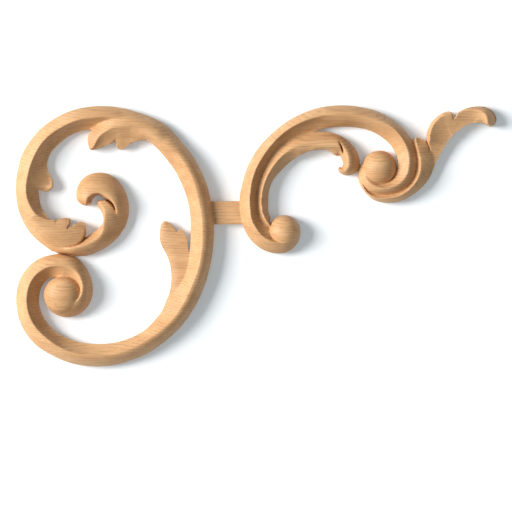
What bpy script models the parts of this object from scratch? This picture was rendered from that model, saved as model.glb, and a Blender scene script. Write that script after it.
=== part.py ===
"""A carved corner onlay for furniture: two scrolls of C-shaped limbs with leaf ends, joined by a flat bar.

It is one piece of pale wood, flat on the back, lying with its back on z = 0 and its carving up.
+X runs along its length, from the large scroll to the small one and its leaf.
The origin is on the back, at the middle of the bar.
"""
from dataclasses import dataclass

import bmesh
import bpy
import numpy as np
from mathutils import Matrix

# Driving sizes, in metres
LENGTH = 0.300          # left side of the large scroll to the tip of the long leaf
LIMB_HEIGHT = 0.0135    # back to the crest of a limb
LIMB_WALL = 0.0050      # upright wall at a limb's outer side
BAR_WIDTH = 0.0143      # bar between the scrolls, across the grain
BAR_HEIGHT = 0.0060     # back to the bar's flat top
BAR_SHIFT = 0.0003      # the bar's middle above the middle of its back edge
LOWER_EYE_RADIUS = 0.0122   # ball in the large scroll's lower curl
LOWER_EYE_RISE = 0.0043     # its centre above the back
UPPER_EYE_RADIUS = 0.0117   # ball in the small scroll's curl
UPPER_EYE_RISE = 0.0036
END_EYE_RADIUS = 0.0103     # ball at the small scroll's free end
END_EYE_RISE = 0.0050

# How finely the solids are faceted
FINE_SAMPLES = 1500     # samples along a limb that place its facets
CHORD_ERROR = 0.00014   # how far a limb's facets may leave its curve
LONGEST_STEP = 0.0075   # longest facet along a limb
CAP_STEPS = 4           # facets round a limb's end
CAP_CLEAR = 0.2         # gap left between them and the next facet, as a share of the end's round
LEAST_TURN = 1e-6       # turn per metre below which a limb counts as straight
SLOPE_STEPS = 3         # facets from a limb's crest to its wall
LOBE_STEPS = 2          # the same on a leaf's lobe
EYE_SEGMENTS = 32
EYE_RINGS = 20
GOUGE_SEGMENTS = 12
GOUGE_RINGS = 12

# The drawing: its unit is a 300th of the length, which is 1 mm at the real size
DRAWN_LENGTH = 300.0
UNIT = LENGTH / DRAWN_LENGTH
SUNK = 0.003            # how far each form reaches below the back before it is planed flat
BENCH_DEPTH = 0.010     # depth of the block that planes the back
NARROWEST = 0.14        # width left at the very end of a rounded end, as a share
CAP_FALL = 0.35         # height left there, as a share
TALLEST_WALL = 0.95     # a wall's greatest height, as a share of its crest's
GOUGE_RISE = 1.15       # middle of a gouge's cutter above the back, in limb heights

WOOD_COLOUR = (0.72, 0.47, 0.25, 1.0)
WOOD_ROUGHNESS = 0.55


@dataclass
class Band:
    """A limb or a lobe: a crest line with a slope down to a wall on each side of it.

    A station is (x, y, width to the left, width to the right, height of the crest).
    Widths are in drawing units and heights are shares of LIMB_HEIGHT. Left is to the left of the way
    the stations run. A slope's swell is above 0 where it is convex and below 0 where it is hollow; it is
    given as pairs of a share of the way along the band and the swell there. A wall's height is a share
    of LIMB_WALL.
    """
    name: str
    stations: list
    left_swell: tuple
    right_swell: tuple
    left_wall: float = 1.0
    right_wall: float = 0.9
    start_round: float = 0.0
    end_round: float = 0.0
    slope_steps: int = SLOPE_STEPS


GREAT_LIMB = Band("great_limb", [
    (-84.6, 40.8, 2.2, 2.0, 0.66),
    (-82.0, 45.5, 4.9, 5.0, 0.84),
    (-77.0, 50.2, 6.4, 7.6, 0.96),
    (-70.0, 52.9, 8.2, 8.3, 1.0),
    (-62.0, 54.2, 9.8, 9.6, 1.0),
    (-54.0, 53.7, 8.4, 9.2, 1.0),
    (-46.5, 50.5, 7.4, 7.2, 1.0),
    (-40.0, 45.2, 7.5, 5.2, 1.0),
    (-34.5, 39.0, 8.2, 4.6, 1.0),
    (-28.0, 31.0, 8.0, 5.3, 1.0),
    (-21.7, 19.5, 7.9, 6.0, 1.0),
    (-17.4, 5.0, 7.8, 6.0, 1.0),
    (-15.6, -8.0, 7.7, 6.5, 1.0),
    (-15.6, -24.0, 6.9, 7.2, 1.0),
    (-18.3, -39.0, 6.6, 11.6, 1.0),
    (-24.6, -54.0, 6.8, 12.2, 1.0),
    (-34.0, -67.0, 7.0, 9.8, 1.0),
    (-46.5, -77.2, 7.2, 7.6, 1.0),
    (-61.0, -85.0, 7.2, 7.1, 1.0),
    (-79.0, -88.6, 7.0, 7.1, 1.0),
    (-97.0, -85.7, 7.2, 6.5, 1.0),
    (-112.0, -75.8, 7.2, 6.1, 1.0),
    (-121.5, -63.0, 6.9, 6.6, 1.0),
    (-124.7, -51.0, 6.6, 7.9, 1.0),
    (-120.8, -41.2, 7.5, 7.8, 1.0),
    (-113.0, -35.0, 7.7, 7.2, 1.0),
    (-103.5, -33.0, 7.6, 7.5, 1.0),
    (-95.5, -35.7, 7.6, 6.5, 1.01),
    (-90.6, -42.0, 7.3, 5.5, 1.03),
    (-90.0, -49.0, 7.4, 5.0, 1.04),
    (-93.6, -54.6, 7.9, 5.0, 1.02),
    (-99.0, -57.0, 8.2, 5.0, 0.96),
    (-104.5, -56.0, 7.4, 5.0, 0.85),
], ((0.0, 1.0),),
    ((0.0, -0.5), (0.06, -0.5), (0.09, 0.8), (0.11, 0.8), (0.15, -0.1), (0.25, -0.45), (1.0, -0.5)),
    start_round=2.0, end_round=4.0)

LEFT_LIMB = Band("left_limb", [
    (-88.4, -12.4, 3.8, 3.6, 0.82),
    (-92.5, -12.9, 6.4, 3.4, 0.9),
    (-98.0, -12.8, 7.7, 3.8, 0.93),
    (-106.0, -10.8, 11.6, 5.0, 0.95),
    (-113.5, -6.2, 10.0, 3.4, 0.96),
    (-119.8, 0.8, 8.9, 4.6, 1.0),
    (-123.0, 5.7, 7.3, 6.2, 1.0),
    (-124.9, 12.0, 6.6, 7.5, 1.0),
    (-124.9, 20.0, 6.5, 8.5, 1.0),
    (-122.8, 29.0, 7.1, 10.5, 1.0),
    (-118.0, 38.4, 7.5, 9.0, 1.0),
    (-111.0, 47.2, 7.5, 7.8, 1.0),
    (-102.0, 53.8, 7.7, 7.2, 1.0),
    (-92.0, 58.2, 7.2, 7.3, 1.0),
    (-81.0, 59.6, 7.3, 7.2, 1.0),
    (-71.0, 58.4, 8.0, 6.0, 0.98),
    (-62.0, 56.0, 8.9, 5.0, 0.94),
    (-53.0, 52.5, 9.0, 4.0, 0.86),
    (-46.0, 48.5, 6.0, 4.0, 0.8),
], ((0.0, 1.0),), ((0.0, 0.4), (0.06, 0.4), (0.12, -0.5), (1.0, -0.5)), start_round=3.0)

UPPER_CURL = Band("upper_curl", [
    (-109.0, -16.8, 2.0, 3.0, 0.5),
    (-103.5, -19.6, 2.3, 5.0, 0.7),
    (-98.0, -21.2, 2.8, 5.0, 0.82),
    (-93.0, -21.2, 3.8, 5.6, 0.9),
    (-86.5, -19.2, 4.6, 7.0, 0.93),
    (-79.5, -13.8, 4.2, 9.0, 0.96),
    (-75.0, -6.5, 2.3, 11.3, 0.99),
    (-73.6, 2.0, 3.2, 12.4, 1.01),
    (-75.0, 10.5, 4.0, 12.6, 1.04),
    (-79.5, 15.8, 4.0, 9.8, 1.06),
    (-85.0, 16.2, 4.4, 7.6, 1.07),
    (-89.1, 12.5, 4.1, 4.5, 1.05),
    (-89.3, 8.4, 3.9, 3.5, 0.97),
    (-88.0, 4.9, 3.0, 2.8, 0.82),
], ((0.0, -0.4), (0.5, -0.3), (0.75, 1.6), (1.0, 1.8)), ((0.0, 1.0),),
    left_wall=0.8, right_wall=0.9, end_round=3.2)

RIGHT_LIMB = Band("right_limb", [
    (43.6, -8.6, 3.2, 5.0, 0.62),
    (42.6, -13.8, 4.4, 5.0, 0.76),
    (38.8, -17.4, 6.2, 5.0, 0.88),
    (33.2, -18.5, 6.5, 5.0, 0.98),
    (27.4, -16.9, 7.6, 5.0, 1.0),
    (21.6, -12.3, 7.3, 5.0, 1.0),
    (17.0, -4.5, 6.7, 5.0, 1.0),
    (15.0, 6.0, 6.5, 5.0, 1.0),
    (16.0, 18.0, 5.7, 5.1, 1.0),
    (20.6, 31.2, 5.7, 5.5, 1.0),
    (29.4, 43.4, 5.9, 6.2, 1.0),
    (41.0, 52.4, 6.4, 6.8, 1.0),
    (54.0, 58.2, 6.5, 7.4, 1.0),
    (69.0, 61.0, 6.4, 7.1, 1.0),
    (84.0, 59.9, 6.4, 6.5, 1.0),
    (96.0, 55.7, 6.4, 6.5, 1.0),
    (106.0, 48.2, 6.3, 6.6, 1.0),
    (111.3, 40.8, 5.5, 6.8, 1.0),
    (113.5, 32.0, 5.0, 7.0, 1.0),
    (111.8, 24.5, 5.3, 7.5, 1.0),
    (106.5, 18.8, 5.1, 8.0, 1.0),
    (99.5, 16.4, 4.9, 8.0, 1.01),
    (93.0, 17.0, 4.9, 7.5, 0.98),
    (88.4, 20.4, 4.6, 6.0, 0.92),
    (86.4, 25.5, 3.8, 5.0, 0.84),
    (86.6, 31.0, 2.6, 4.0, 0.7),
], ((0.0, 1.0),),
    ((0.0, -0.5), (0.45, -0.5), (0.6, -0.25), (0.92, -0.45), (0.96, 0.7), (1.0, 0.9)),
    start_round=3.0, end_round=4.0)

BRANCH = Band("branch", [
    (30.0, -9.5, 2.0, 4.0, 0.66),
    (25.5, -6.0, 2.0, 4.0, 0.7),
    (22.4, 0.5, 1.8, 4.4, 0.74),
    (21.4, 8.0, 1.7, 4.6, 0.76),
    (22.3, 16.0, 1.8, 5.2, 0.78),
    (26.0, 25.4, 2.3, 5.6, 0.8),
    (32.4, 34.0, 3.0, 5.4, 0.81),
    (41.0, 40.2, 4.2, 4.6, 0.83),
    (51.0, 43.3, 5.6, 4.0, 0.85),
    (60.0, 43.8, 7.2, 4.4, 0.87),
    (68.0, 43.6, 6.8, 4.4, 0.89),
    (73.2, 40.5, 7.2, 2.6, 0.91),
    (75.9, 35.0, 7.1, 2.8, 0.92),
    (75.8, 30.2, 6.9, 3.0, 0.88),
    (73.6, 26.8, 3.4, 3.0, 0.8),
    (69.9, 27.4, 2.0, 2.0, 0.62),
], ((0.0, -0.3), (0.45, -0.2), (0.7, 1.1), (1.0, 1.2)),
    ((0.0, -0.2), (0.5, -0.2), (0.62, 0.6), (0.8, -0.2), (1.0, 0.7)),
    left_wall=0.9, right_wall=0.8, end_round=2.0)

STEM = Band("stem", [
    (86.4, 25.4, 1.2, 2.4, 0.4),
    (85.6, 19.0, 1.8, 2.8, 0.62),
    (88.6, 14.4, 1.9, 3.0, 0.68),
    (94.0, 10.9, 2.0, 3.4, 0.74),
    (102.0, 10.0, 2.0, 3.4, 0.78),
    (110.0, 13.0, 2.2, 5.0, 0.81),
    (116.6, 19.6, 2.3, 7.4, 0.84),
    (120.1, 28.0, 2.2, 9.0, 0.85),
    (120.0, 36.0, 2.2, 11.5, 0.84),
    (118.2, 42.0, 1.9, 7.0, 0.78),
    (118.2, 45.6, 1.6, 4.0, 0.7),
], ((0.0, 0.0), (1.0, 0.3)), ((0.0, 0.0), (1.0, 0.5)), left_wall=1.0, right_wall=0.7, end_round=2.0)

TOP_LOBE = Band("top_lobe", [
    (-54.0, 50.0, 3.0, 3.0, 0.45),
    (-61.0, 45.8, 3.4, 3.2, 0.58),
    (-66.0, 42.8, 2.9, 2.9, 0.62),
    (-69.2, 41.9, 1.9, 1.4, 0.58),
], ((0.0, 0.5), (1.0, 0.8)), ((0.0, 0.5), (1.0, 0.8)), end_round=2.0, slope_steps=LOBE_STEPS)

SIDE_LOBE = Band("side_lobe", [
    (-120.0, 38.0, 4.0, 5.0, 0.36),
    (-117.0, 29.0, 4.6, 4.0, 0.46),
    (-113.8, 22.5, 4.6, 4.4, 0.54),
    (-112.2, 18.4, 4.2, 4.8, 0.56),
    (-112.4, 13.5, 4.0, 4.5, 0.5),
], ((0.0, 0.5), (1.0, 0.8)), ((0.0, 0.5), (1.0, 0.8)), end_round=4.5, slope_steps=LOBE_STEPS)

LOW_LOBE_UPPER = Band("low_lobe_upper", [
    (-114.0, -10.0, 5.0, 5.4, 0.84),
    (-108.0, -9.0, 5.0, 5.2, 0.91),
    (-103.0, -7.8, 4.4, 4.8, 0.92),
    (-98.3, -6.3, 3.2, 3.5, 0.84),
], ((0.0, 0.5), (1.0, 0.8)), ((0.0, 0.5), (1.0, 0.8)),
    left_wall=1.7, right_wall=1.7, end_round=2.5, slope_steps=LOBE_STEPS)

LOW_LOBE_LOWER = Band("low_lobe_lower", [
    (-104.0, -14.0, 4.5, 5.0, 0.86),
    (-97.0, -12.2, 4.0, 4.8, 0.92),
    (-92.5, -10.4, 3.6, 4.4, 0.92),
    (-88.5, -8.4, 2.6, 3.2, 0.82),
], ((0.0, 0.5), (1.0, 0.8)), ((0.0, 0.5), (1.0, 0.8)),
    left_wall=1.7, right_wall=1.7, end_round=2.5, slope_steps=LOBE_STEPS)

INNER_LEAF_LEFT = Band("inner_leaf_left", [
    (-30.0, -62.0, 5.0, 5.0, 0.42),
    (-30.0, -47.0, 4.6, 7.0, 0.56),
    (-31.0, -34.0, 4.2, 7.0, 0.62),
    (-34.6, -23.0, 5.0, 5.6, 0.63),
    (-37.2, -13.0, 4.1, 5.0, 0.63),
    (-38.4, -5.0, 2.0, 3.0, 0.58),
], ((0.0, 0.5), (1.0, 0.8)), ((0.0, 0.5), (1.0, 0.8)),
    left_wall=1.5, right_wall=1.55, end_round=3.0, slope_steps=LOBE_STEPS)

INNER_LEAF_RIGHT = Band("inner_leaf_right", [
    (-28.0, -52.0, 5.0, 6.0, 0.45),
    (-28.0, -38.0, 6.0, 7.0, 0.58),
    (-28.2, -27.0, 6.4, 5.4, 0.62),
    (-28.4, -18.0, 4.4, 3.6, 0.62),
    (-29.6, -10.4, 2.2, 2.6, 0.58),
], ((0.0, 0.5), (1.0, 0.8)), ((0.0, 0.5), (1.0, 0.8)),
    left_wall=1.55, right_wall=1.5, end_round=2.5, slope_steps=LOBE_STEPS)

SPUR = Band("spur", [
    (-72.6, -5.0, 1.4, 1.4, 0.84),
    (-74.8, 1.5, 2.0, 2.0, 0.92),
    (-79.6, 7.2, 1.5, 1.5, 0.78),
], ((0.0, 0.5), (1.0, 0.8)), ((0.0, 0.5), (1.0, 0.8)), end_round=1.5, slope_steps=LOBE_STEPS)

BRANCH_LOBE = Band("branch_lobe", [
    (58.0, 42.5, 2.0, 2.4, 0.5),
    (65.5, 39.6, 2.6, 2.7, 0.62),
    (70.8, 37.3, 1.4, 1.5, 0.56),
], ((0.0, 0.5), (1.0, 0.8)), ((0.0, 0.5), (1.0, 0.8)), end_round=1.8, slope_steps=LOBE_STEPS)

CROWN = Band("crown", [
    (121.5, 27.0, 2.2, 5.0, 0.55),
    (125.2, 38.0, 1.6, 8.6, 0.76),
    (126.8, 46.0, 2.2, 11.2, 0.81),
    (129.2, 54.0, 2.2, 12.4, 0.82),
    (134.2, 60.3, 2.0, 8.5, 0.8),
    (139.6, 62.3, 1.6, 3.0, 0.74),
], ((0.0, 0.2), (1.0, 0.5)), ((0.0, 0.0), (1.0, 0.5)), left_wall=0.8, right_wall=1.1, end_round=1.8)

TENDRIL = Band("tendril", [
    (132.0, 47.5, 2.0, 6.4, 0.42),
    (138.4, 55.4, 3.0, 7.3, 0.62),
    (146.4, 62.0, 1.6, 8.8, 0.71),
    (156.0, 65.0, 1.6, 8.6, 0.76),
    (161.8, 62.8, 3.5, 7.4, 0.81),
    (163.6, 57.6, 4.6, 3.2, 0.8),
    (164.0, 54.2, 3.4, 1.4, 0.7),
], ((0.0, 0.4), (0.75, 0.5), (1.0, 0.9)), ((0.0, 0.2), (1.0, 0.2)),
    left_wall=0.9, right_wall=1.4, end_round=3.0)

BANDS = [
    GREAT_LIMB, LEFT_LIMB, UPPER_CURL, RIGHT_LIMB, BRANCH, STEM,
    TOP_LOBE, SIDE_LOBE, LOW_LOBE_UPPER, LOW_LOBE_LOWER,
    INNER_LEAF_LEFT, INNER_LEAF_RIGHT, SPUR, BRANCH_LOBE, CROWN, TENDRIL,
]

# Middles of the three balls on the drawing
LOWER_EYE_AT = (-101.8, -51.6)
UPPER_EYE_AT = (94.9, 27.9)
END_EYE_AT = (36.6, -11.1)

# Slits cut with a fine gouge: both ends on the drawing, width, and the height of the floor
SLITS = {
    "hook_slit": ((-75.0, 9.0), (-68.6, 0.8), 1.7, 0.0070),
    "branch_slit": ((70.2, 45.2), (73.2, 37.6), 1.7, 0.0050),
    "crown_slit": ((142.0, 60.6), (137.2, 55.2), 1.2, 0.0060),
}

# The bar's ends on the drawing, inside the limbs it joins
BAR_LEFT = -12.0
BAR_RIGHT = 13.0


def clear_scene():
    """Remove what the scene starts with."""
    for item in list(bpy.data.objects):
        bpy.data.objects.remove(item, do_unlink=True)


def new_collection(name):
    """Add an empty collection to the scene."""
    group = bpy.data.collections.new(name)
    bpy.context.scene.collection.children.link(group)
    return group


def wood_material():
    """Pale wood, planed and left unpolished."""
    material = bpy.data.materials.new("pale_wood")
    material.use_nodes = True
    shader = material.node_tree.nodes["Principled BSDF"]
    shader.inputs["Base Color"].default_value = WOOD_COLOUR
    shader.inputs["Roughness"].default_value = WOOD_ROUGHNESS
    shader.inputs["Metallic"].default_value = 0.0
    return material


def natural_spline(knots, values):
    """Return a function that gives the natural cubic spline through the values, or its slope."""
    gaps = np.diff(knots)
    count = len(knots)
    system = np.eye(count)
    target = np.zeros_like(values)
    for i in range(1, count - 1):
        system[i, i - 1:i + 2] = gaps[i - 1], 2 * (gaps[i - 1] + gaps[i]), gaps[i]
        target[i] = 6 * ((values[i + 1] - values[i]) / gaps[i] - (values[i] - values[i - 1]) / gaps[i - 1])
    bend = np.linalg.solve(system, target)

    def at(where, slope=False):
        i = np.clip(np.searchsorted(knots, where, side="right") - 1, 0, count - 2)
        h = gaps[i][:, None]
        a = (knots[i + 1] - where)[:, None] / h
        b = 1 - a
        if slope:
            return ((values[i + 1] - values[i]) / h
                    + h / 6 * ((3 * b * b - 1) * bend[i + 1] - (3 * a * a - 1) * bend[i]))
        return (a * values[i] + b * values[i + 1]
                + h * h / 6 * ((a ** 3 - a) * bend[i] + (b ** 3 - b) * bend[i + 1]))

    return at


def facet_places(curve, length, start_round, end_round):
    """Places along a band where its sections stand: closer where it bends, and round its ends."""
    fine = np.linspace(0.0, length, FINE_SAMPLES)
    way = curve(fine, slope=True)[:, :2]
    turn = np.abs(np.diff(np.unwrap(np.arctan2(way[:, 1], way[:, 0])))) / np.diff(fine)
    radius = 1.0 / np.maximum(turn, LEAST_TURN)
    step = np.minimum(np.sqrt(8 * CHORD_ERROR * radius), LONGEST_STEP)
    share = np.concatenate([[0.0], np.cumsum(np.diff(fine) / step)])
    places = np.interp(np.linspace(0, share[-1], int(np.ceil(share[-1])) + 1), share, fine)
    quarter = np.linspace(0, np.pi / 2, CAP_STEPS + 1)
    if start_round:
        beyond = places > start_round * (1 + CAP_CLEAR)
        places = np.concatenate([start_round * (1 - np.cos(quarter)), places[beyond]])
    if end_round:
        near = length - end_round
        short_of = places < near - CAP_CLEAR * end_round
        places = np.concatenate([places[short_of], near + end_round * np.sin(quarter)])
    return places


def fullness(places, length, start_round, end_round):
    """How much of its width a band has at each place: a quarter ellipse at a rounded end."""
    full = np.ones_like(places)
    if start_round:
        full *= np.sqrt(1 - np.clip(1 - places / start_round, 0, 1) ** 2)
    if end_round:
        full *= np.sqrt(1 - np.clip(1 - (length - places) / end_round, 0, 1) ** 2)
    return np.maximum(full, NARROWEST)


def slope_height(across, swell):
    """Share of the rise left at a share of the way across: 1 at the crest, 0 at the wall."""
    return np.where(swell >= 0, 1 - across ** (1 + np.maximum(swell, 0)),
                    (1 - across) ** (1 - np.minimum(swell, 0)))


def band_sections(band):
    """Rings of points for a band, one ring for each place along it."""
    drawn = np.array(band.stations)
    scale = np.array([UNIT, UNIT, UNIT, UNIT, LIMB_HEIGHT])
    values = drawn * scale
    chords = np.linalg.norm(np.diff(values[:, :2], axis=0), axis=1)
    knots = np.concatenate([[0.0], np.cumsum(chords)])
    length = knots[-1]
    curve = natural_spline(knots, values)
    start_round = band.start_round * UNIT
    end_round = band.end_round * UNIT
    places = facet_places(curve, length, start_round, end_round)
    full = fullness(places, length, start_round, end_round)
    station = curve(places)
    way = curve(places, slope=True)[:, :2]
    way /= np.linalg.norm(way, axis=1)[:, None]
    side = np.stack([-way[:, 1], way[:, 0]], axis=1)
    crest = station[:, 4] * (CAP_FALL + (1 - CAP_FALL) * full)
    along = places / length
    slopes = []
    for sign, width, wall, swell in (
            (1, station[:, 2], band.left_wall, band.left_swell),
            (-1, station[:, 3], band.right_wall, band.right_swell)):
        across = np.linspace(0, 1, band.slope_steps + 1)[None, :]
        bulge = np.interp(along, *zip(*swell))[:, None]
        foot = np.minimum(wall * LIMB_WALL, TALLEST_WALL * crest)[:, None]
        reach = sign * (width * full)[:, None] * across
        height = foot + (crest[:, None] - foot) * slope_height(across, bulge)
        flat = station[:, None, :2] + side[:, None, :] * reach[..., None]
        slopes.append(np.concatenate([flat, height[..., None]], axis=2))
    left, right = slopes
    sunk_left = left[:, -1:].copy()
    sunk_right = right[:, -1:].copy()
    sunk_left[..., 2] = -SUNK
    sunk_right[..., 2] = -SUNK
    return np.concatenate([sunk_left, left[:, :0:-1], right, sunk_right], axis=1)


def loft(name, rings):
    """Make a closed mesh object that runs through rings of equally many points."""
    mesh = bmesh.new()
    loops = [[mesh.verts.new(point) for point in ring] for ring in rings]
    count = len(loops[0])
    for first, second in zip(loops, loops[1:]):
        for i in range(count):
            j = (i + 1) % count
            mesh.faces.new((first[i], first[j], second[j], second[i]))
    mesh.faces.new(loops[0][::-1])
    mesh.faces.new(loops[-1])
    bmesh.ops.recalc_face_normals(mesh, faces=mesh.faces)
    return finish_object(name, mesh)


def finish_object(name, mesh):
    """Turn a bmesh into an object."""
    data = bpy.data.meshes.new(name)
    mesh.to_mesh(data)
    mesh.free()
    return bpy.data.objects.new(name, data)


def eye(name, middle, radius, rise):
    """One of the balls in the curls."""
    mesh = bmesh.new()
    bmesh.ops.create_uvsphere(mesh, u_segments=EYE_SEGMENTS, v_segments=EYE_RINGS, radius=radius)
    bmesh.ops.translate(mesh, vec=(middle[0] * UNIT, middle[1] * UNIT, rise), verts=mesh.verts)
    return finish_object(name, mesh)


def block(name, low, high):
    """A box between two corners."""
    mesh = bmesh.new()
    bmesh.ops.create_cube(mesh, size=1.0)
    size = [b - a for a, b in zip(low, high)]
    middle = [(a + b) / 2 for a, b in zip(low, high)]
    bmesh.ops.scale(mesh, vec=size, verts=mesh.verts)
    bmesh.ops.translate(mesh, vec=middle, verts=mesh.verts)
    return finish_object(name, mesh)


def gouge(name, start, end, width, floor):
    """A long pointed cutter that leaves a slit down to a floor height."""
    first = np.array(start) * UNIT
    last = np.array(end) * UNIT
    reach = np.linalg.norm(last - first)
    depth = LIMB_HEIGHT * GOUGE_RISE - floor
    mesh = bmesh.new()
    bmesh.ops.create_uvsphere(mesh, u_segments=GOUGE_SEGMENTS, v_segments=GOUGE_RINGS, radius=1.0)
    bmesh.ops.scale(mesh, vec=(reach / 2, width * UNIT / 2, depth), verts=mesh.verts)
    turn = Matrix.Rotation(np.arctan2(*(last - first)[::-1]), 3, "Z")
    bmesh.ops.rotate(mesh, matrix=turn, verts=mesh.verts)
    middle = (first + last) / 2
    bmesh.ops.translate(mesh, vec=(*middle, LIMB_HEIGHT * GOUGE_RISE), verts=mesh.verts)
    return finish_object(name, mesh)


def guide(item, group):
    """Keep a form as a guide or a cutter: in the file, but not one of the parts."""
    item.hide_render = True
    item.display_type = "WIRE"
    group.objects.link(item)
    return item


def build():
    """Model the onlay."""
    clear_scene()
    parts = new_collection("corner_onlay")
    forms = new_collection("forms")
    cutters = new_collection("cutters")

    onlay = loft("onlay", band_sections(BANDS[0]))
    parts.objects.link(onlay)
    onlay.data.materials.append(wood_material())

    for band in BANDS[1:]:
        guide(loft("form_" + band.name, band_sections(band)), forms)
    guide(eye("form_lower_eye", LOWER_EYE_AT, LOWER_EYE_RADIUS, LOWER_EYE_RISE), forms)
    guide(eye("form_upper_eye", UPPER_EYE_AT, UPPER_EYE_RADIUS, UPPER_EYE_RISE), forms)
    guide(eye("form_end_eye", END_EYE_AT, END_EYE_RADIUS, END_EYE_RISE), forms)
    guide(block("form_bar", (BAR_LEFT * UNIT, BAR_SHIFT - BAR_WIDTH / 2, -SUNK),
                (BAR_RIGHT * UNIT, BAR_SHIFT + BAR_WIDTH / 2, BAR_HEIGHT)), forms)
    bench = guide(block("cut_back_flat", (-LENGTH, -LENGTH, -BENCH_DEPTH), (LENGTH, LENGTH, 0.0)), cutters)

    slits = new_collection("slit_cutters")
    for name, (start, end, width, floor) in SLITS.items():
        guide(gouge("cut_" + name, start, end, width, floor), slits)

    joined = onlay.modifiers.new("carved_as_one", "BOOLEAN")
    joined.operation = "UNION"
    joined.solver = "EXACT"
    joined.operand_type = "COLLECTION"
    joined.collection = forms
    joined.use_self = True
    planed = onlay.modifiers.new("back_planed_flat", "BOOLEAN")
    planed.operation = "DIFFERENCE"
    planed.solver = "EXACT"
    planed.object = bench
    slitted = onlay.modifiers.new("slits", "BOOLEAN")
    slitted.operation = "DIFFERENCE"
    slitted.solver = "EXACT"
    slitted.operand_type = "COLLECTION"
    slitted.collection = slits


build()
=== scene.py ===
"""The looks of the carved corner onlay: one piece of pale wood, carved on the face and flat on the back.

The carving is a relief, so it is modelled as a carver's drawing: crest lines with a slope on each side,
balls, a flat bar, and the cuts between them. Each point of a fine sheet takes the height that the forms
give it there, and the sheet is then given its upright walls and its flat back.
Drawing units are 300ths of the onlay's length, which is 1 mm at the real size.
"""

import logging
import math
from collections.abc import Callable
from dataclasses import dataclass, field
from enum import Enum

import bpy
import numpy as np
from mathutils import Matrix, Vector


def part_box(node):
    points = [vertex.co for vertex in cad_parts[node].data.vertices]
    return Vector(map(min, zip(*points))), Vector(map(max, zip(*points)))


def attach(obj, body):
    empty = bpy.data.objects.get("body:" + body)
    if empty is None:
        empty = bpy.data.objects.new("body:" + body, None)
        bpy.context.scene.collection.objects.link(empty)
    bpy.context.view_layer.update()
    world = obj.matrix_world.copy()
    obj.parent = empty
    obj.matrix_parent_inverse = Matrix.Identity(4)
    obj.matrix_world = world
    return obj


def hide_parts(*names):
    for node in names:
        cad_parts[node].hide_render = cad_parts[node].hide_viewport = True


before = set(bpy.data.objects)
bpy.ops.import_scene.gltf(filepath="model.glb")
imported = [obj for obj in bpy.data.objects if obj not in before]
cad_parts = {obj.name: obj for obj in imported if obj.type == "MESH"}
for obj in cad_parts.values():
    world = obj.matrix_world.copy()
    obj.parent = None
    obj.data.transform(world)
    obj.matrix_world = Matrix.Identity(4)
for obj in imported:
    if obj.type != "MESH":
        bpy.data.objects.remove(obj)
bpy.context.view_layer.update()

LOG = logging.getLogger("corner_onlay")

# The drawing and the frame it is fitted to
DRAWN_LENGTH = 300.0
NODE_LOW, NODE_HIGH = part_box("onlay")
UNIT = (NODE_HIGH.x - NODE_LOW.x) / DRAWN_LENGTH

# Sizes shared by the forms, in drawing units
CREST = 13.5            # back to the crest of a limb
GRID_STEP = 0.45        # distance between the sheet's points
SAMPLE_STEP = 0.25      # distance between the points that a crest line is measured at
CLIFF = 3.2             # how steeply a form falls beyond its own foot, inside the rest
FAR_BELOW = -40.0       # height where no form reaches
LEAST_RISE = 0.02       # a crest is at least this far above the foot of its slope
NO_LENGTH = 1e-12       # least divisor for a piece of line


class Spline:
    """A natural cubic spline through a table's rows, run by the chord length of its first two columns."""

    def __init__(self, table: np.ndarray) -> None:
        """Solve the spline.

        Args:
            table: one row for each station; the first two columns are its place.
        """
        chords = np.linalg.norm(np.diff(table[:, :2], axis=0), axis=1)
        self.knots = np.concatenate([[0.0], np.cumsum(chords)])
        self.table = table
        self.gaps = np.diff(self.knots)
        count = len(self.knots)
        system = np.eye(count)
        target = np.zeros_like(table)
        for i in range(1, count - 1):
            before, after = self.gaps[i - 1], self.gaps[i]
            system[i, i - 1:i + 2] = before, 2 * (before + after), after
            target[i] = 6 * ((table[i + 1] - table[i]) / after - (table[i] - table[i - 1]) / before)
        self.bend = np.linalg.solve(system, target)

    @property
    def length(self) -> float:
        """The spline's whole run."""
        return float(self.knots[-1])

    def at(self, where: np.ndarray) -> np.ndarray:
        """The table's columns at places along the spline.

        Args:
            where: distances along the spline.

        Returns:
            A row for each place.
        """
        i, h, a, b = self._parts(where)
        curve = (a ** 3 - a) * self.bend[i] + (b ** 3 - b) * self.bend[i + 1]
        return a * self.table[i] + b * self.table[i + 1] + h * h / 6 * curve

    def way(self, where: np.ndarray) -> np.ndarray:
        """The line's direction at places along the spline.

        Args:
            where: distances along the spline.

        Returns:
            A unit vector for each place.
        """
        i, h, a, b = self._parts(where)
        curve = (3 * b * b - 1) * self.bend[i + 1] - (3 * a * a - 1) * self.bend[i]
        slope = ((self.table[i + 1] - self.table[i]) / h + h / 6 * curve)[:, :2]
        return slope / np.linalg.norm(slope, axis=1)[:, None]

    def _parts(self, where: np.ndarray) -> tuple:
        """Find the gap that each place is in.

        Args:
            where: distances along the spline.

        Returns:
            The gap's number, its length and the place's two shares of it.
        """
        i = np.clip(np.searchsorted(self.knots, where, side="right") - 1, 0, len(self.gaps) - 1)
        h = self.gaps[i][:, None]
        a = (self.knots[i + 1] - where)[:, None] / h
        return i, h, a, 1 - a


@dataclass
class Reading:
    """How some points lie to a line."""
    along: np.ndarray       # share of the way along the line
    side: np.ndarray        # above 0 on its left
    apart: np.ndarray       # distance from it
    rows: np.ndarray        # the line's own columns there


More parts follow.
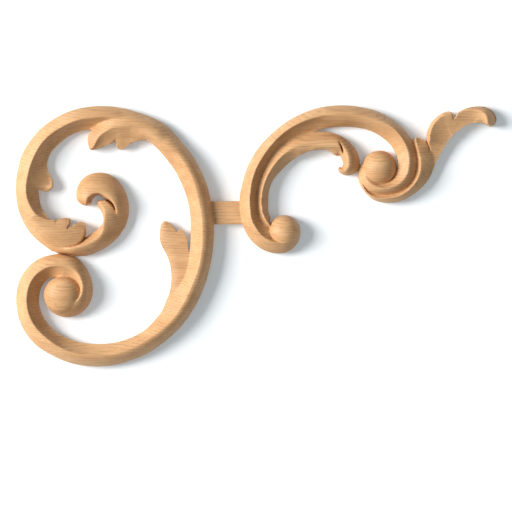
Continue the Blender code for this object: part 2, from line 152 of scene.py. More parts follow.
class Trace:
    """A smooth line through given points (x, y and further columns), measured at close samples."""

    RUN = 24                # samples measured in one go

    def __init__(self, table: tuple) -> None:
        """Sample the line closely.

        Args:
            table: the given points.
        """
        spline = Spline(np.array(table, float))
        self.length = spline.length
        self.places = np.linspace(0, self.length, int(self.length / SAMPLE_STEP) + 2)
        self.rows = spline.at(self.places)
        self.ways = spline.way(self.places)

    def read(self, points: np.ndarray, reach: float) -> Reading:
        """Measure some points.

        Args:
            points: rows of x and y.
            reach: the furthest distance of interest; a point beyond it is read as being that far.

        Returns:
            The reading of every point.
        """
        best = np.full(len(points), reach * reach)
        nearest = np.zeros(len(points), int)
        for start in range(0, len(self.places), self.RUN):
            run = self.rows[start:start + self.RUN, :2]
            near = near_line(points, run, reach)
            if not len(near):
                continue
            apart = ((points[near][:, None] - run[None]) ** 2).sum(axis=2)
            pick = apart.argmin(axis=1)
            found = apart[np.arange(len(near)), pick]
            better = found < best[near]
            best[near[better]] = found[better]
            nearest[near[better]] = pick[better] + start
        offset = points - self.rows[nearest, :2]
        way = self.ways[nearest]
        run = self.places[nearest] + (offset * way).sum(axis=1)
        along = np.clip(run, 0, self.length)
        side = way[:, 0] * offset[:, 1] - way[:, 1] * offset[:, 0]
        apart = np.where(best < reach * reach, np.minimum(np.hypot(side, run - along), reach), reach)
        rows = np.stack([np.interp(along, self.places, column) for column in self.rows.T], axis=1)
        return Reading(along / self.length, side, apart, rows)


def near_line(points: np.ndarray, line: np.ndarray, reach: float) -> np.ndarray:
    """Numbers of the points inside a line's box, widened by a reach."""
    low, high = line.min(axis=0) - reach, line.max(axis=0) + reach
    return np.flatnonzero(((points > low) & (points < high)).all(axis=1))


def ring_holds(points: np.ndarray, ring: np.ndarray) -> np.ndarray:
    """Which points a closed ring goes round.

    Args:
        points: rows of x and y.
        ring: the ring's corners in order.

    Returns:
        A truth value for each point.
    """
    order = np.argsort(points[:, 1], kind="stable")
    levels = points[order, 1]
    held = np.zeros(len(points), bool)
    for (x0, y0), (x1, y1) in zip(ring, np.roll(ring, -1, axis=0)):
        if y0 == y1:
            continue
        first, last = np.searchsorted(levels, (min(y0, y1), max(y0, y1)))
        which = order[first:last]
        crossing = x0 + (points[which, 1] - y0) * (x1 - x0) / (y1 - y0)
        held[which] ^= points[which, 0] < crossing
    return held


def segment_distance(points: np.ndarray, start: np.ndarray, end: np.ndarray) -> np.ndarray:
    """Measure some points from a straight piece of line.

    Args:
        points: rows of x and y.
        start: its first end.
        end: its other end.

    Returns:
        A distance for each point.
    """
    way = end - start
    share = np.clip((points - start) @ way / max(float(way @ way), NO_LENGTH), 0, 1)
    return np.linalg.norm(points - start - share[:, None] * way, axis=1)


class Relief:
    """The heights that the forms give to a set of points, and how deep inside the outline each one is."""

    def __init__(self, points: np.ndarray) -> None:
        """Start with nothing there.

        Args:
            points: rows of x and y in drawing units.
        """
        self.points = points
        self.height = np.full(len(points), FAR_BELOW)
        self.inside = np.full(len(points), FAR_BELOW)

    def raise_to(self, which: np.ndarray, height: np.ndarray, blend: float) -> None:
        """Take the higher of what is there and a form.

        Args:
            which: the numbers of the form's points.
            height: the form's height at each.
            blend: the size of the fillet between the two.
        """
        there = self.height[which]
        top = np.maximum(there, height)
        if blend > 0:
            near = np.clip(1 - np.abs(there - height) / blend, 0, 1)
            top = top + blend * near * near / 4
        self.height[which] = top

    def widen(self, which: np.ndarray, inside: np.ndarray) -> None:
        """Make the outline take in a form."""
        self.inside[which] = np.maximum(self.inside[which], inside)


@dataclass(frozen=True)
class Slope:
    """One side of a fold: how it swells, above 0 convex and below 0 hollow, and the wall at its edge.

    Each is a number, or pairs of a share of the way along the crest and the number there.
    """
    swell: float | tuple
    wall: float | tuple

    def height(self, share: np.ndarray, across: np.ndarray, crest: np.ndarray) -> np.ndarray:
        """Height of some points of the slope.

        Args:
            share: share of the way along the crest.
            across: share of the way from the crest to the edge.
            crest: the crest's height there.

        Returns:
            The heights.
        """
        swell = along_share(share, self.swell)
        foot = np.minimum(along_share(share, self.wall), crest - LEAST_RISE)
        u = np.clip(across, 0, 1)
        convex = 1 - u ** (1 + np.maximum(swell, 0))
        hollow = (1 - u) ** (1 - np.minimum(swell, 0))
        return foot + (crest - foot) * np.where(swell >= 0, convex, hollow)


def along_share(share: np.ndarray, given: float | tuple) -> np.ndarray:
    """Read a number, or pairs of a share and a number, at some shares.

    Args:
        share: where to read it.
        given: the number or the pairs.

    Returns:
        A number for each share.
    """
    if isinstance(given, tuple):
        return np.interp(share, *zip(*given))
    return np.full_like(share, given)


@dataclass(frozen=True)
class Fold:
    """A limb, lobe or leaf: a crest line with a slope on each side, down to a drawn edge line.

    The crest's points are x, y and height; the edges' points are x and y. Where an edge is notched, the
    slope falls to a simpler line of its own, so that the notches leave no marks on it.
    """
    name: str
    crest: tuple
    left_edge: tuple
    right_edge: tuple
    left: Slope
    right: Slope
    blend: float = 0.5
    left_fall: tuple | None = None
    right_fall: tuple | None = None

    MARGIN = 2.0            # how far beyond its edges the form still has a height
    CREST_REACH = 30.0      # furthest that a point is measured from the crest
    EDGE_REACH = 26.0       # furthest that a point is measured from an edge
    HALF_WIDTH = 29.0       # no point of the form is further from its crest
    LEAST_WIDTH = 1e-6      # least divisor across a slope

    def press(self, relief: Relief) -> None:
        """Add the fold to a relief.

        Args:
            relief: the relief, whose heights and outline change.
        """
        left, right = Trace(self.left_edge), Trace(self.right_edge)
        ring = np.concatenate([left.rows[:, :2], right.rows[::-1, :2]])
        which = near_line(relief.points, ring, self.MARGIN)
        points = relief.points[which]
        points, which, c = self._near(points, which, Trace(self.crest).read(points, self.CREST_REACH))
        from_left, from_right = self._distance(left, points), self._distance(right, points)
        edge = np.minimum(from_left, from_right)
        for end in (0, -1):
            edge = np.minimum(edge, segment_distance(points, left.rows[end, :2], right.rows[end, :2]))
        inside = np.where(ring_holds(points, ring), edge, -edge)
        if self.left_fall:
            from_left = self._distance(Trace(self.left_fall), points)
        if self.right_fall:
            from_right = self._distance(Trace(self.right_fall), points)
        off = np.where(c.side > 0, from_left, from_right)
        across = np.where(inside > 0, c.apart / np.maximum(c.apart + off, self.LEAST_WIDTH), 1.0)
        on_left, on_right = (slope.height(c.along, across, c.rows[:, 2]) for slope in (self.left, self.right))
        height = np.where(c.side > 0, on_left, on_right) + np.minimum(inside, 0) * CLIFF
        near = inside > -self.MARGIN
        relief.raise_to(which[near], height[near], self.blend)
        relief.widen(which[near], inside[near])

    def _distance(self, line: Trace, points: np.ndarray) -> np.ndarray:
        """Distance of some points from an edge."""
        return line.read(points, self.EDGE_REACH).apart

    def _near(self, points: np.ndarray, which: np.ndarray, c: Reading) -> tuple:
        """Leave out the points that are far from the crest."""
        near = c.apart < self.HALF_WIDTH
        return points[near], which[near], Reading(c.along[near], c.side[near], c.apart[near], c.rows[near])


@dataclass(frozen=True)
class Ball:
    """A ball in a curl: the upper part of a sphere, or of a flattened one."""
    name: str
    middle: tuple
    radius: float
    rise: float
    round: float = 1.0      # its height above the rise as a share of a sphere's
    blend: float = 0.25

    MARGIN = 3.0            # how far beyond its edge the form still has a height

    def press(self, relief: Relief) -> None:
        """Add the ball to a relief.

        Args:
            relief: the relief, whose heights and outline change.
        """
        apart = np.linalg.norm(relief.points - np.array(self.middle), axis=1)
        which = np.flatnonzero(apart < self.radius + self.MARGIN)
        apart = apart[which]
        height = self.rise + self.round * np.sqrt(np.clip(self.radius ** 2 - apart ** 2, 0, None))
        height = height - np.maximum(apart - self.radius, 0) * CLIFF
        relief.raise_to(which, height, self.blend)
        relief.widen(which, self.radius - apart)


@dataclass(frozen=True)
class FlatBar:
    """The flat bar between the scrolls."""
    name: str
    left: float
    right: float
    middle: float
    width: float
    height: float
    edge: float = 0.5       # how far in its long edges are worn
    wear: float = 0.6       # how deep, as a share of that
    blend: float = 0.3

    MARGIN = 2.0            # how far beyond its edges the form still has a height

    def press(self, relief: Relief) -> None:
        """Add the bar to a relief.

        Args:
            relief: the relief, whose heights and outline change.
        """
        x, y = relief.points.T
        apart = self.width / 2 - np.abs(y - self.middle)
        inside = np.minimum(np.minimum(x - self.left, self.right - x), apart)
        which = np.flatnonzero(inside > -self.MARGIN)
        worn = np.clip(1 - apart[which] / self.edge, 0, 1) ** 2 * self.edge * self.wear
        relief.raise_to(which, self.height - worn, self.blend)
        relief.widen(which, inside[which])


@dataclass(frozen=True)
class Cut:
    """A cut with straight sides; its stations are x, y, the widths on the left and right, and the depth."""
    name: str
    stations: tuple

    MARGIN = 0.5            # how far beyond its widths a point is still measured
    LEAST_WIDTH = 1e-3      # least divisor across the cut

    def carve(self, relief: Relief) -> None:
        """Take the cut out of a relief.

        Args:
            relief: the relief, whose heights change.
        """
        line = Trace(self.stations)
        reach = line.rows[:, 2:4].max() + self.MARGIN
        which = near_line(relief.points, line.rows[:, :2], reach)
        r = line.read(relief.points[which], reach)
        width = np.maximum(np.where(r.side > 0, r.rows[:, 2], r.rows[:, 3]), self.LEAST_WIDTH)
        relief.height[which] -= r.rows[:, 4] * (1 - np.clip(r.apart / width, 0, 1))


def full(*places: tuple) -> tuple:
    """Points of a crest at a limb's full height."""
    return tuple((*place, CREST) for place in places)


@dataclass
class LargeScroll:
    """The large scroll: the great limb with its leaf and ball, the left limb, and the curl inside."""
    ball_middle: tuple = (-102.0, -50.8)
    ball_radius: float = 11.6
    ball_rise: float = 7.8
    ball_round: float = 0.75

    def forms(self) -> list:
        """The limbs, the leaves and the ball."""
        return [self.great_limb(), self.left_limb(), *self.upper_curl(), *self.leaves(),
                Ball("lower_eye", self.ball_middle, self.ball_radius, self.ball_rise, self.ball_round,
                     blend=0.8)]

    def great_limb(self) -> Fold:
        """The limb that falls from the top, sweeps along the bottom and curls round the ball.

        Returns:
            The limb's fold.
        """
        crest = (
            (-50, 46.6, 7.0), (-46.5, 44.8, 8.6), (-43, 43.6, 10.4), (-40, 42.6, 12.1), (-37.2, 41.2, 13.0),
            (-34.2, 39.2, 13.3),
            *full(
                (-31, 36.8), (-27.8, 33.2), (-25, 29), (-22.2, 23.6), (-19.4, 16), (-17.4, 8),
                (-15.8, 0), (-15.1, -8), (-15.3, -20), (-16.4, -29), (-18.2, -36), (-21.3, -44),
                (-25, -52.5), (-30, -61.3), (-36, -68.5), (-43, -74.4), (-51, -79.6), (-60, -84.3),
                (-70, -87.3), (-80, -88.2), (-90, -87.6), (-100, -84.9), (-107.2, -80.9), (-114.4, -75),
                (-118.8, -70.1), (-122.4, -62.8), (-123.8, -55), (-123, -47.2), (-119.5, -40),
                (-114.3, -35.4), (-108, -32.9), (-100, -33.2), (-94.6, -35.5)),
            (-91.2, -39.8, 13.6), (-89.7, -45, 13.7), (-90.3, -50.3, 13.6), (-93.5, -54.8, 13.3),
            (-99, -57.7, 12.6), (-105, -57.4, 11.4), (-109.5, -54.5, 10.2),
        )
        outer = (
            (-53, 62.2), (-46.5, 59.7), (-42.5, 57.7), (-37, 54), (-31, 48), (-25, 41), (-20, 34),
            (-16, 26.5), (-12.5, 18.5), (-10.2, 10), (-8.6, 0), (-8, -6.5), (-8.2, -20), (-9.5, -29),
            (-11.6, -38.5), (-14.4, -47), (-18, -55), (-22.8, -63.2), (-28.5, -70.6), (-35, -77.1),
            (-42.5, -83), (-51, -88.2), (-60, -91.7), (-70, -94.4), (-80, -95.4), (-90, -94.7),
            (-100, -92.3), (-110, -87.8), (-117.5, -83), (-124, -76), (-128.2, -68.5), (-130.5, -60),
            (-130.9, -52), (-129.5, -43.8), (-126.2, -37), (-121.6, -31.8), (-115.8, -27.9), (-108, -25.7),
            (-99, -25.4), (-93.6, -27.6), (-88, -33.3), (-84.5, -40.3), (-83.3, -48), (-85.9, -57.1),
            (-91.3, -62.6), (-98, -64.7), (-104.8, -63.7), (-110, -60.2), (-113, -55),
        )
        inner = (
            (-49, 45), (-47, 44), (-45, 42.2), (-42.5, 39.8), (-40.3, 37.3), (-35.4, 31.4), (-30.4, 23.6),
            (-27.3, 17.1), (-24.3, 8.5), (-22.7, 0), (-22.2, -10), (-22.4, -18), (-23.0, -24), (-24.4, -31),
            (-25.8, -37.5), (-29, -43.5), (-32.5, -48), (-36.2, -52), (-39.5, -59.5), (-44, -65.8),
            (-50, -72), (-57.5, -76.6), (-65, -79.5), (-73, -81.1), (-81, -81.5), (-89, -80.8),
            (-97, -78.7), (-105, -74.7), (-111, -69.2), (-115, -62.8), (-116.9, -55), (-116.2, -48.5),
            (-113.7, -43.4), (-109.3, -40.3), (-103, -39.3), (-97.3, -40), (-93.4, -43), (-91.8, -48),
            (-93.3, -52.8), (-97, -56), (-101.5, -57.2), (-106, -56), (-109, -53.5),
        )
        return Fold("great_limb", crest, outer, inner,
                    Slope(((0, 1.4), (0.35, 1.3), (0.5, 0.9), (0.8, 0.5), (1, 0.9)),
                          ((0, 5.0), (0.08, 5.4), (0.14, 6.2), (0.32, 6.2), (0.42, 5.0), (1, 5.0))),
                    Slope(((0, 0.0), (0.3, -0.1), (0.45, 0.1), (0.52, 0.3), (0.58, -0.3), (0.65, -0.45),
                           (0.82, -0.4), (0.9, 0.1), (1, 0.2)),
                          ((0, 8.0), (0.1, 6.0), (0.28, 5.5), (0.4, 6.0), (0.82, 5.0), (0.86, 9.0),
                           (1, 8.6))))

    def left_limb(self) -> Fold:
        """The limb on the left, whose hollow side flares into the side lobe.

        Returns:
            The limb's fold.
        """
        crest = (
            (-106, -4.6, 11.8), (-110, -4.1, 12.3), (-115, -2.8, 12.8), (-118, -0.7, 13.2),
            *full(
                (-120.6, 2.7), (-123.2, 8.2), (-124.4, 15), (-123.9, 20.4), (-122.1, 28.2),
                (-119.4, 34.9), (-115, 42.7), (-109.6, 48.4), (-101.7, 53.5), (-94.8, 56.8), (-87.4, 58.6)),
            (-80, 59.3, 13.4), (-75, 59.6, 13.2), (-68, 58.8, 12.5), (-61, 57.4, 10.6),
        )
        outer = (
            (-108, -24), (-113, -20.5), (-118.5, -16), (-123.5, -10.5), (-127.3, -3.5), (-130.1, 4.5),
            (-131, 12), (-131, 20), (-129.9, 27), (-127.4, 36.2), (-122.6, 44.4), (-117.5, 50.8),
            (-110.5, 56.7), (-102.5, 61.5), (-95, 64.4), (-87, 66.2), (-80, 66.8), (-73, 66.6), (-66, 65.7),
            (-59, 64.1),
        )
        inner = (
            (-106, -4.2), (-109.9, -3.8), (-111.5, -2), (-113.5, 0.5), (-115.4, 4), (-116.6, 8.5),
            (-117.1, 12.5), (-117.2, 15.2), (-116.3, 14.7), (-114.7, 13.9), (-112.8, 13.5), (-111, 13.8),
            (-109.4, 14.9), (-108.3, 16.6), (-108.1, 18.8), (-108.7, 21.2), (-110.1, 23.7), (-111.3, 26.6),
            (-111.8, 30), (-111.2, 34), (-109.2, 38.2), (-105, 42.8), (-100, 47), (-95, 49.8), (-90, 51.4),
            (-84.5, 52), (-77, 52.5), (-69, 52.5), (-61, 51),
        )
        return Fold("left_limb", crest, outer, inner,
                    Slope(((0, 0.6), (0.2, 0.5), (0.6, 0.4), (0.8, 0.6), (1, 1.2)),
                          ((0, 5.0), (0.93, 5.0), (1, 2.5))),
                    Slope(((0, 0.0), (0.15, -0.2), (0.3, -0.5), (0.8, -0.5), (1, -0.2)),
                          ((0, 11.0), (0.07, 9.0), (0.14, 5.2), (0.2, 4.8), (0.27, 6.8), (0.34, 5.8),
                           (0.42, 4.8), (1, 4.4))),
                    right_fall=(
                        (-106, -4.2), (-109.9, -3.8), (-113.5, 0.5), (-116.2, 6), (-115.9, 11), (-113, 15),
                        (-110.2, 19), (-110.4, 24), (-111.7, 30), *inner[-10:]))

    def upper_curl(self) -> list:
        """The curl inside the scroll: the band with its spur, and the head that folds back over the hole.

        Returns:
            The two folds.
        """
        outside = (
            (-114, -20), (-104, -25.1), (-94, -26.6), (-87, -26.3), (-80, -23.9), (-73, -19.9),
            (-68, -15.2), (-64.2, -9.8), (-62, -4.6), (-61.4, -1.2), (-63.6, 0.4), (-66.8, 0.6),
            (-68.9, 1.2), (-69.5, 3.4), (-70.9, 5.6), (-73, 7.3), (-75.6, 8.2), (-79.3, 8),
        )
        head_outside = (
            (-63.6, -9.4), (-61.6, -4), (-60.8, 2.5), (-61.7, 9.8), (-64.3, 16), (-68.8, 21.5),
            (-74.8, 24.8), (-81.3, 25.3), (-87.3, 23.2), (-91.2, 19.3), (-93.1, 15), (-93.5, 10.8),
            (-92.9, 8.2), (-91.3, 6.4), (-89.4, 5.1), (-87.8, 4.7),
        )
        band = Fold("curl_band", (
            (-112, -16.5, 6.0), (-107, -19.4, 7.4), (-103, -20.9, 8.6), (-99.5, -21.4, 10.2),
            (-95, -21.3, 12.0), (-91.5, -20.6, 12.6), (-87, -19.2, 12.9), (-82.7, -17.3, 13.1),
            (-79.4, -14.9, 13.2), (-77.2, -11.5, 13.2), (-76.4, -7.5, 13.2), (-76.1, -4, 13.2),
            (-75.7, -1.2, 13.1), (-75.9, 1.4, 12.8), (-77.2, 4.3, 12.0), (-79.1, 7, 10.8),
        ), (
            (-110, -14), (-102, -17.3), (-94, -16.8), (-87.5, -15), (-84.5, -13), (-81, -10.5), (-78.4, -8),
            (-76.9, -5.6), (-76.6, -3.6), (-76.9, -1.2), (-77.7, 0.8), (-79, 2.9), (-80.1, 4.3),
            (-80.8, 5.9), (-80.3, 7.3),
        ), outside,
            Slope(((0, 0.3), (0.5, 0.2), (0.75, 0.3), (1, 0.5)),
                  ((0, 5.0), (0.75, 5.0), (0.85, 7.0), (1, 7.0))),
            Slope(((0, 0.6), (0.5, 0.7), (1, 0.6)), 4.8), blend=1.4,
            right_fall=(*outside[:9], *head_outside[2:5]))
        head = Fold("curl_head", (
            (-66.2, -10, 4.8), (-66.3, -6, 6.4), (-66.8, -3, 8.2), (-67.5, -0.4, 10.3), (-68.1, 1.8, 12.0),
            (-68.9, 4.2, 13.0), (-70.4, 7, 13.6), (-72.8, 10.1, 13.9), (-76.2, 12.1, 14.0),
            (-80, 12.8, 14.0), (-83.4, 12.1, 13.9), (-85.8, 10.3, 13.6), (-86.9, 8, 13.2),
            (-87.1, 5.6, 12.2),
        ), (
            (-69.5, -9), (-69.3, -5), (-69, -1.5), (-69.1, 1), (-69.9, 3.6), (-71.3, 5.9), (-73.2, 7.4),
            (-75.3, 8.5), (-77, 9.9), (-78.9, 11.1), (-81, 10.9), (-82.9, 9.6), (-83.9, 7.9), (-84.3, 6.1),
            (-85.6, 5.2), (-86.8, 4.8),
        ), head_outside,
            Slope(((0, 0.3), (0.3, 0.2), (0.45, 0.8), (0.55, 1.4), (1, 1.2)),
                  ((0, 5.0), (0.1, 6.0), (0.2, 9.0), (0.3, 11.0), (0.36, 10.0), (0.46, 4.5), (1, 4.5))),
            Slope(((0, 0.3), (0.2, 0.6), (0.4, 0.9), (1, 1.1)), ((0, 4.8), (0.8, 4.8), (1, 7.0))), blend=1.4)
        return [band, head]

    def leaves(self) -> list:
        """The top leaf, the leaf at the lower left and the leaf inside the great limb.

        Returns:
            The three folds.
        """
        top_inner = (
            (-84.4, 39.5), (-80, 40.3), (-76, 41.8), (-72.5, 43.2), (-70, 44.5), (-69.3, 45.5),
            (-68.8, 44.2), (-68.7, 42.3), (-68, 40.7), (-66.4, 39.8), (-64.6, 40), (-62.6, 41.1),
            (-60, 43.2), (-57.5, 44.4), (-54.5, 45.2), (-51.5, 45.5), (-49, 45.2), (-46.5, 43.6),
            (-42.5, 39.9), (-38.5, 35.4), (-34.6, 30),
        )
        top_leaf = Fold("top_leaf", (
            (-83.7, 39.9, 8.4), (-81.6, 43.1, 10.2), (-79.8, 46.5, 11.4), (-77.2, 49.3, 12.3),
            (-74, 51.3, 12.9), (-70, 52.8, 13.3), (-65, 53.5, 13.5), (-60, 53.9, 13.5), (-54, 53.6, 13.5),
            (-48.5, 51.4, 13.4), (-43.5, 47.8, 13.1), (-39.5, 44.4, 12.2), (-35.5, 40.6, 10.6),
            (-32, 36.6, 8.0),
        ), (
            (-85, 39.6), (-85.8, 42), (-86.3, 45), (-86.2, 47.5), (-85.3, 50), (-83.4, 52.2), (-80, 55.4),
            (-77.3, 58.2), (-74.2, 61.5), (-70, 64.3), (-64, 65), (-58, 63.7), (-50, 60.9), (-42.5, 57.6),
            (-36, 53), (-30, 47),
        ), top_inner,
            Slope(((0, 0.0), (0.2, 0.1), (0.3, 0.7), (0.42, 1.2), (1, 1.3)),
                  ((0, 7.5), (0.3, 8.0), (0.42, 6.5), (0.55, 5.0), (0.9, 5.0), (1, 2.5))),
            Slope(((0, -0.3), (0.3, -0.45), (0.46, -0.1), (0.62, 0.8), (0.75, 1.2), (1, 1.3)),
                  ((0, 7.2), (0.2, 7.0), (0.4, 6.0), (0.6, 6.6), (0.8, 6.6), (1, 4.0))), blend=1.2,
            right_fall=((-84.4, 39.5), (-80, 40.2), (-73, 40.8), (-66, 40), (-60, 42), (-54.5, 44.2),
                        (-49, 44.6), *top_inner[-3:]))
        low_outer = (
            (-126.8, -5), (-121.5, -13), (-116, -18.2), (-111, -21.9), (-106.5, -24.2), (-103, -24.5),
            (-101, -22.8), (-99, -21.2), (-96.5, -20.4), (-94, -19.8), (-91.4, -18.7), (-89.4, -16.9),
            (-88.2, -14.8), (-87.7, -13), (-87.6, -11.2),
        )
        low_leaf = Fold("low_leaf", (
            (-121, -1, 12.8), (-114, -8.5, 12.8), (-106, -12, 12.6), (-98, -13, 11.8), (-92, -12.3, 10.6),
            (-87.8, -11, 9.2),
        ), (
            (-117.5, 0), (-113.5, -3), (-109.8, -4.1), (-105, -4), (-102, -3.2), (-99.6, -2.8), (-98, -3.3),
            (-97.2, -4.6), (-97.4, -6.6), (-98.4, -8.3), (-98.9, -9.3), (-97.8, -9.1), (-96.4, -8),
            (-94.4, -6.9), (-92.4, -5.9), (-91, -5.3), (-89.7, -5.4), (-88.5, -6.5), (-87.8, -8.5),
            (-87.6, -11),
        ), low_outer,
            Slope(1.2, ((0, 11.6), (0.4, 11.2), (1, 8.4))),
            Slope(1.2, 5.0), blend=1.2,
            right_fall=(*low_outer[:3], (-110.5, -22.2), (-104, -25.1), (-97, -26.4), (-90, -26.4),
                        (-84, -25)),
            left_fall=((-117.5, 0), (-113.5, -2.8), (-109.8, -3.8), (-105, -3.6), (-100, -3.2), (-95.5, -4.2),
                       (-91.5, -4.9), (-89, -6.2), (-87.8, -8.5), (-87.6, -11)))
        inner_side = (
            (-21, -54), (-19, -44), (-19, -35), (-20.4, -28), (-23.4, -23.6), (-24.1, -19), (-24.9, -15.4),
            (-26.3, -12.6), (-27.7, -10.8), (-29, -10), (-30.2, -10.8), (-31, -12), (-31.4, -10.8),
            (-32.6, -9), (-34.6, -7.1), (-36.5, -5.7), (-38.2, -4.8),
        )
        inner_leaf = Fold("inner_leaf", (
            (-29, -54, 6.3), (-29.2, -44, 6.4), (-29.6, -34, 6.4), (-31.6, -25, 6.3), (-34.5, -16, 6.3),
            (-37.6, -8.5, 6.2), (-38.6, -5.2, 5.9),
        ), (
            (-37, -54), (-34.9, -47), (-34.3, -41), (-34.6, -35), (-35.5, -30.5), (-37.4, -25.6),
            (-39.9, -21), (-41.2, -17.5), (-41.5, -13), (-41.1, -9), (-40.1, -6.1), (-39.2, -4.9),
        ), inner_side,
            Slope(1.0, 5.3), Slope(1.0, ((0, 6.2), (0.5, 6.1), (0.7, 5.6), (1, 5.4))), blend=0.3,
            right_fall=(*inner_side[:4], (-23.4, -22), (-25, -14.5), (-28.5, -9.8), (-33.5, -7),
                        (-38.2, -4.8)))
        return [top_leaf, low_leaf, inner_leaf]

    def cuts(self) -> list:
        """The line under the low leaf, the seam where the two curls touch, and the slit beside the spur.

        Returns:
            The three cuts.
        """
        return [
            Cut("leaf_line", (
                (-101.8, -21.7, 0.3, 0.3, 0.2), (-98.2, -20.9, 0.6, 0.6, 1.6),
                (-94.0, -20.1, 0.7, 0.7, 2.4), (-91.2, -18.9, 0.7, 0.7, 2.8), (-89.1, -16.9, 0.7, 0.7, 2.8),
                (-88.0, -14.6, 0.6, 0.6, 2.0),
            )),
            Cut("scroll_seam", (
                (-106.0, -24.9, 0.5, 0.5, 0.4), (-101.5, -25.5, 0.8, 0.7, 4.5),
                (-97.5, -26.1, 0.9, 0.8, 7.5), (-93.5, -27.0, 0.9, 0.8, 8.0), (-90.5, -28.0, 0.8, 0.7, 6.0),
            )),
            Cut("hook_slit", (
                (-76.4, 9.0, 0.5, 0.5, 1.5), (-74.6, 8.4, 0.6, 0.6, 3.5), (-72.8, 7.3, 0.7, 0.8, 6.5),
                (-71.0, 5.5, 0.8, 0.8, 7.5), (-69.7, 3.5, 0.6, 0.7, 6.0), (-69.0, 1.6, 0.4, 0.4, 2.5),
                (-68.7, 0.4, 0.2, 0.2, 0.3),
            )),
        ]


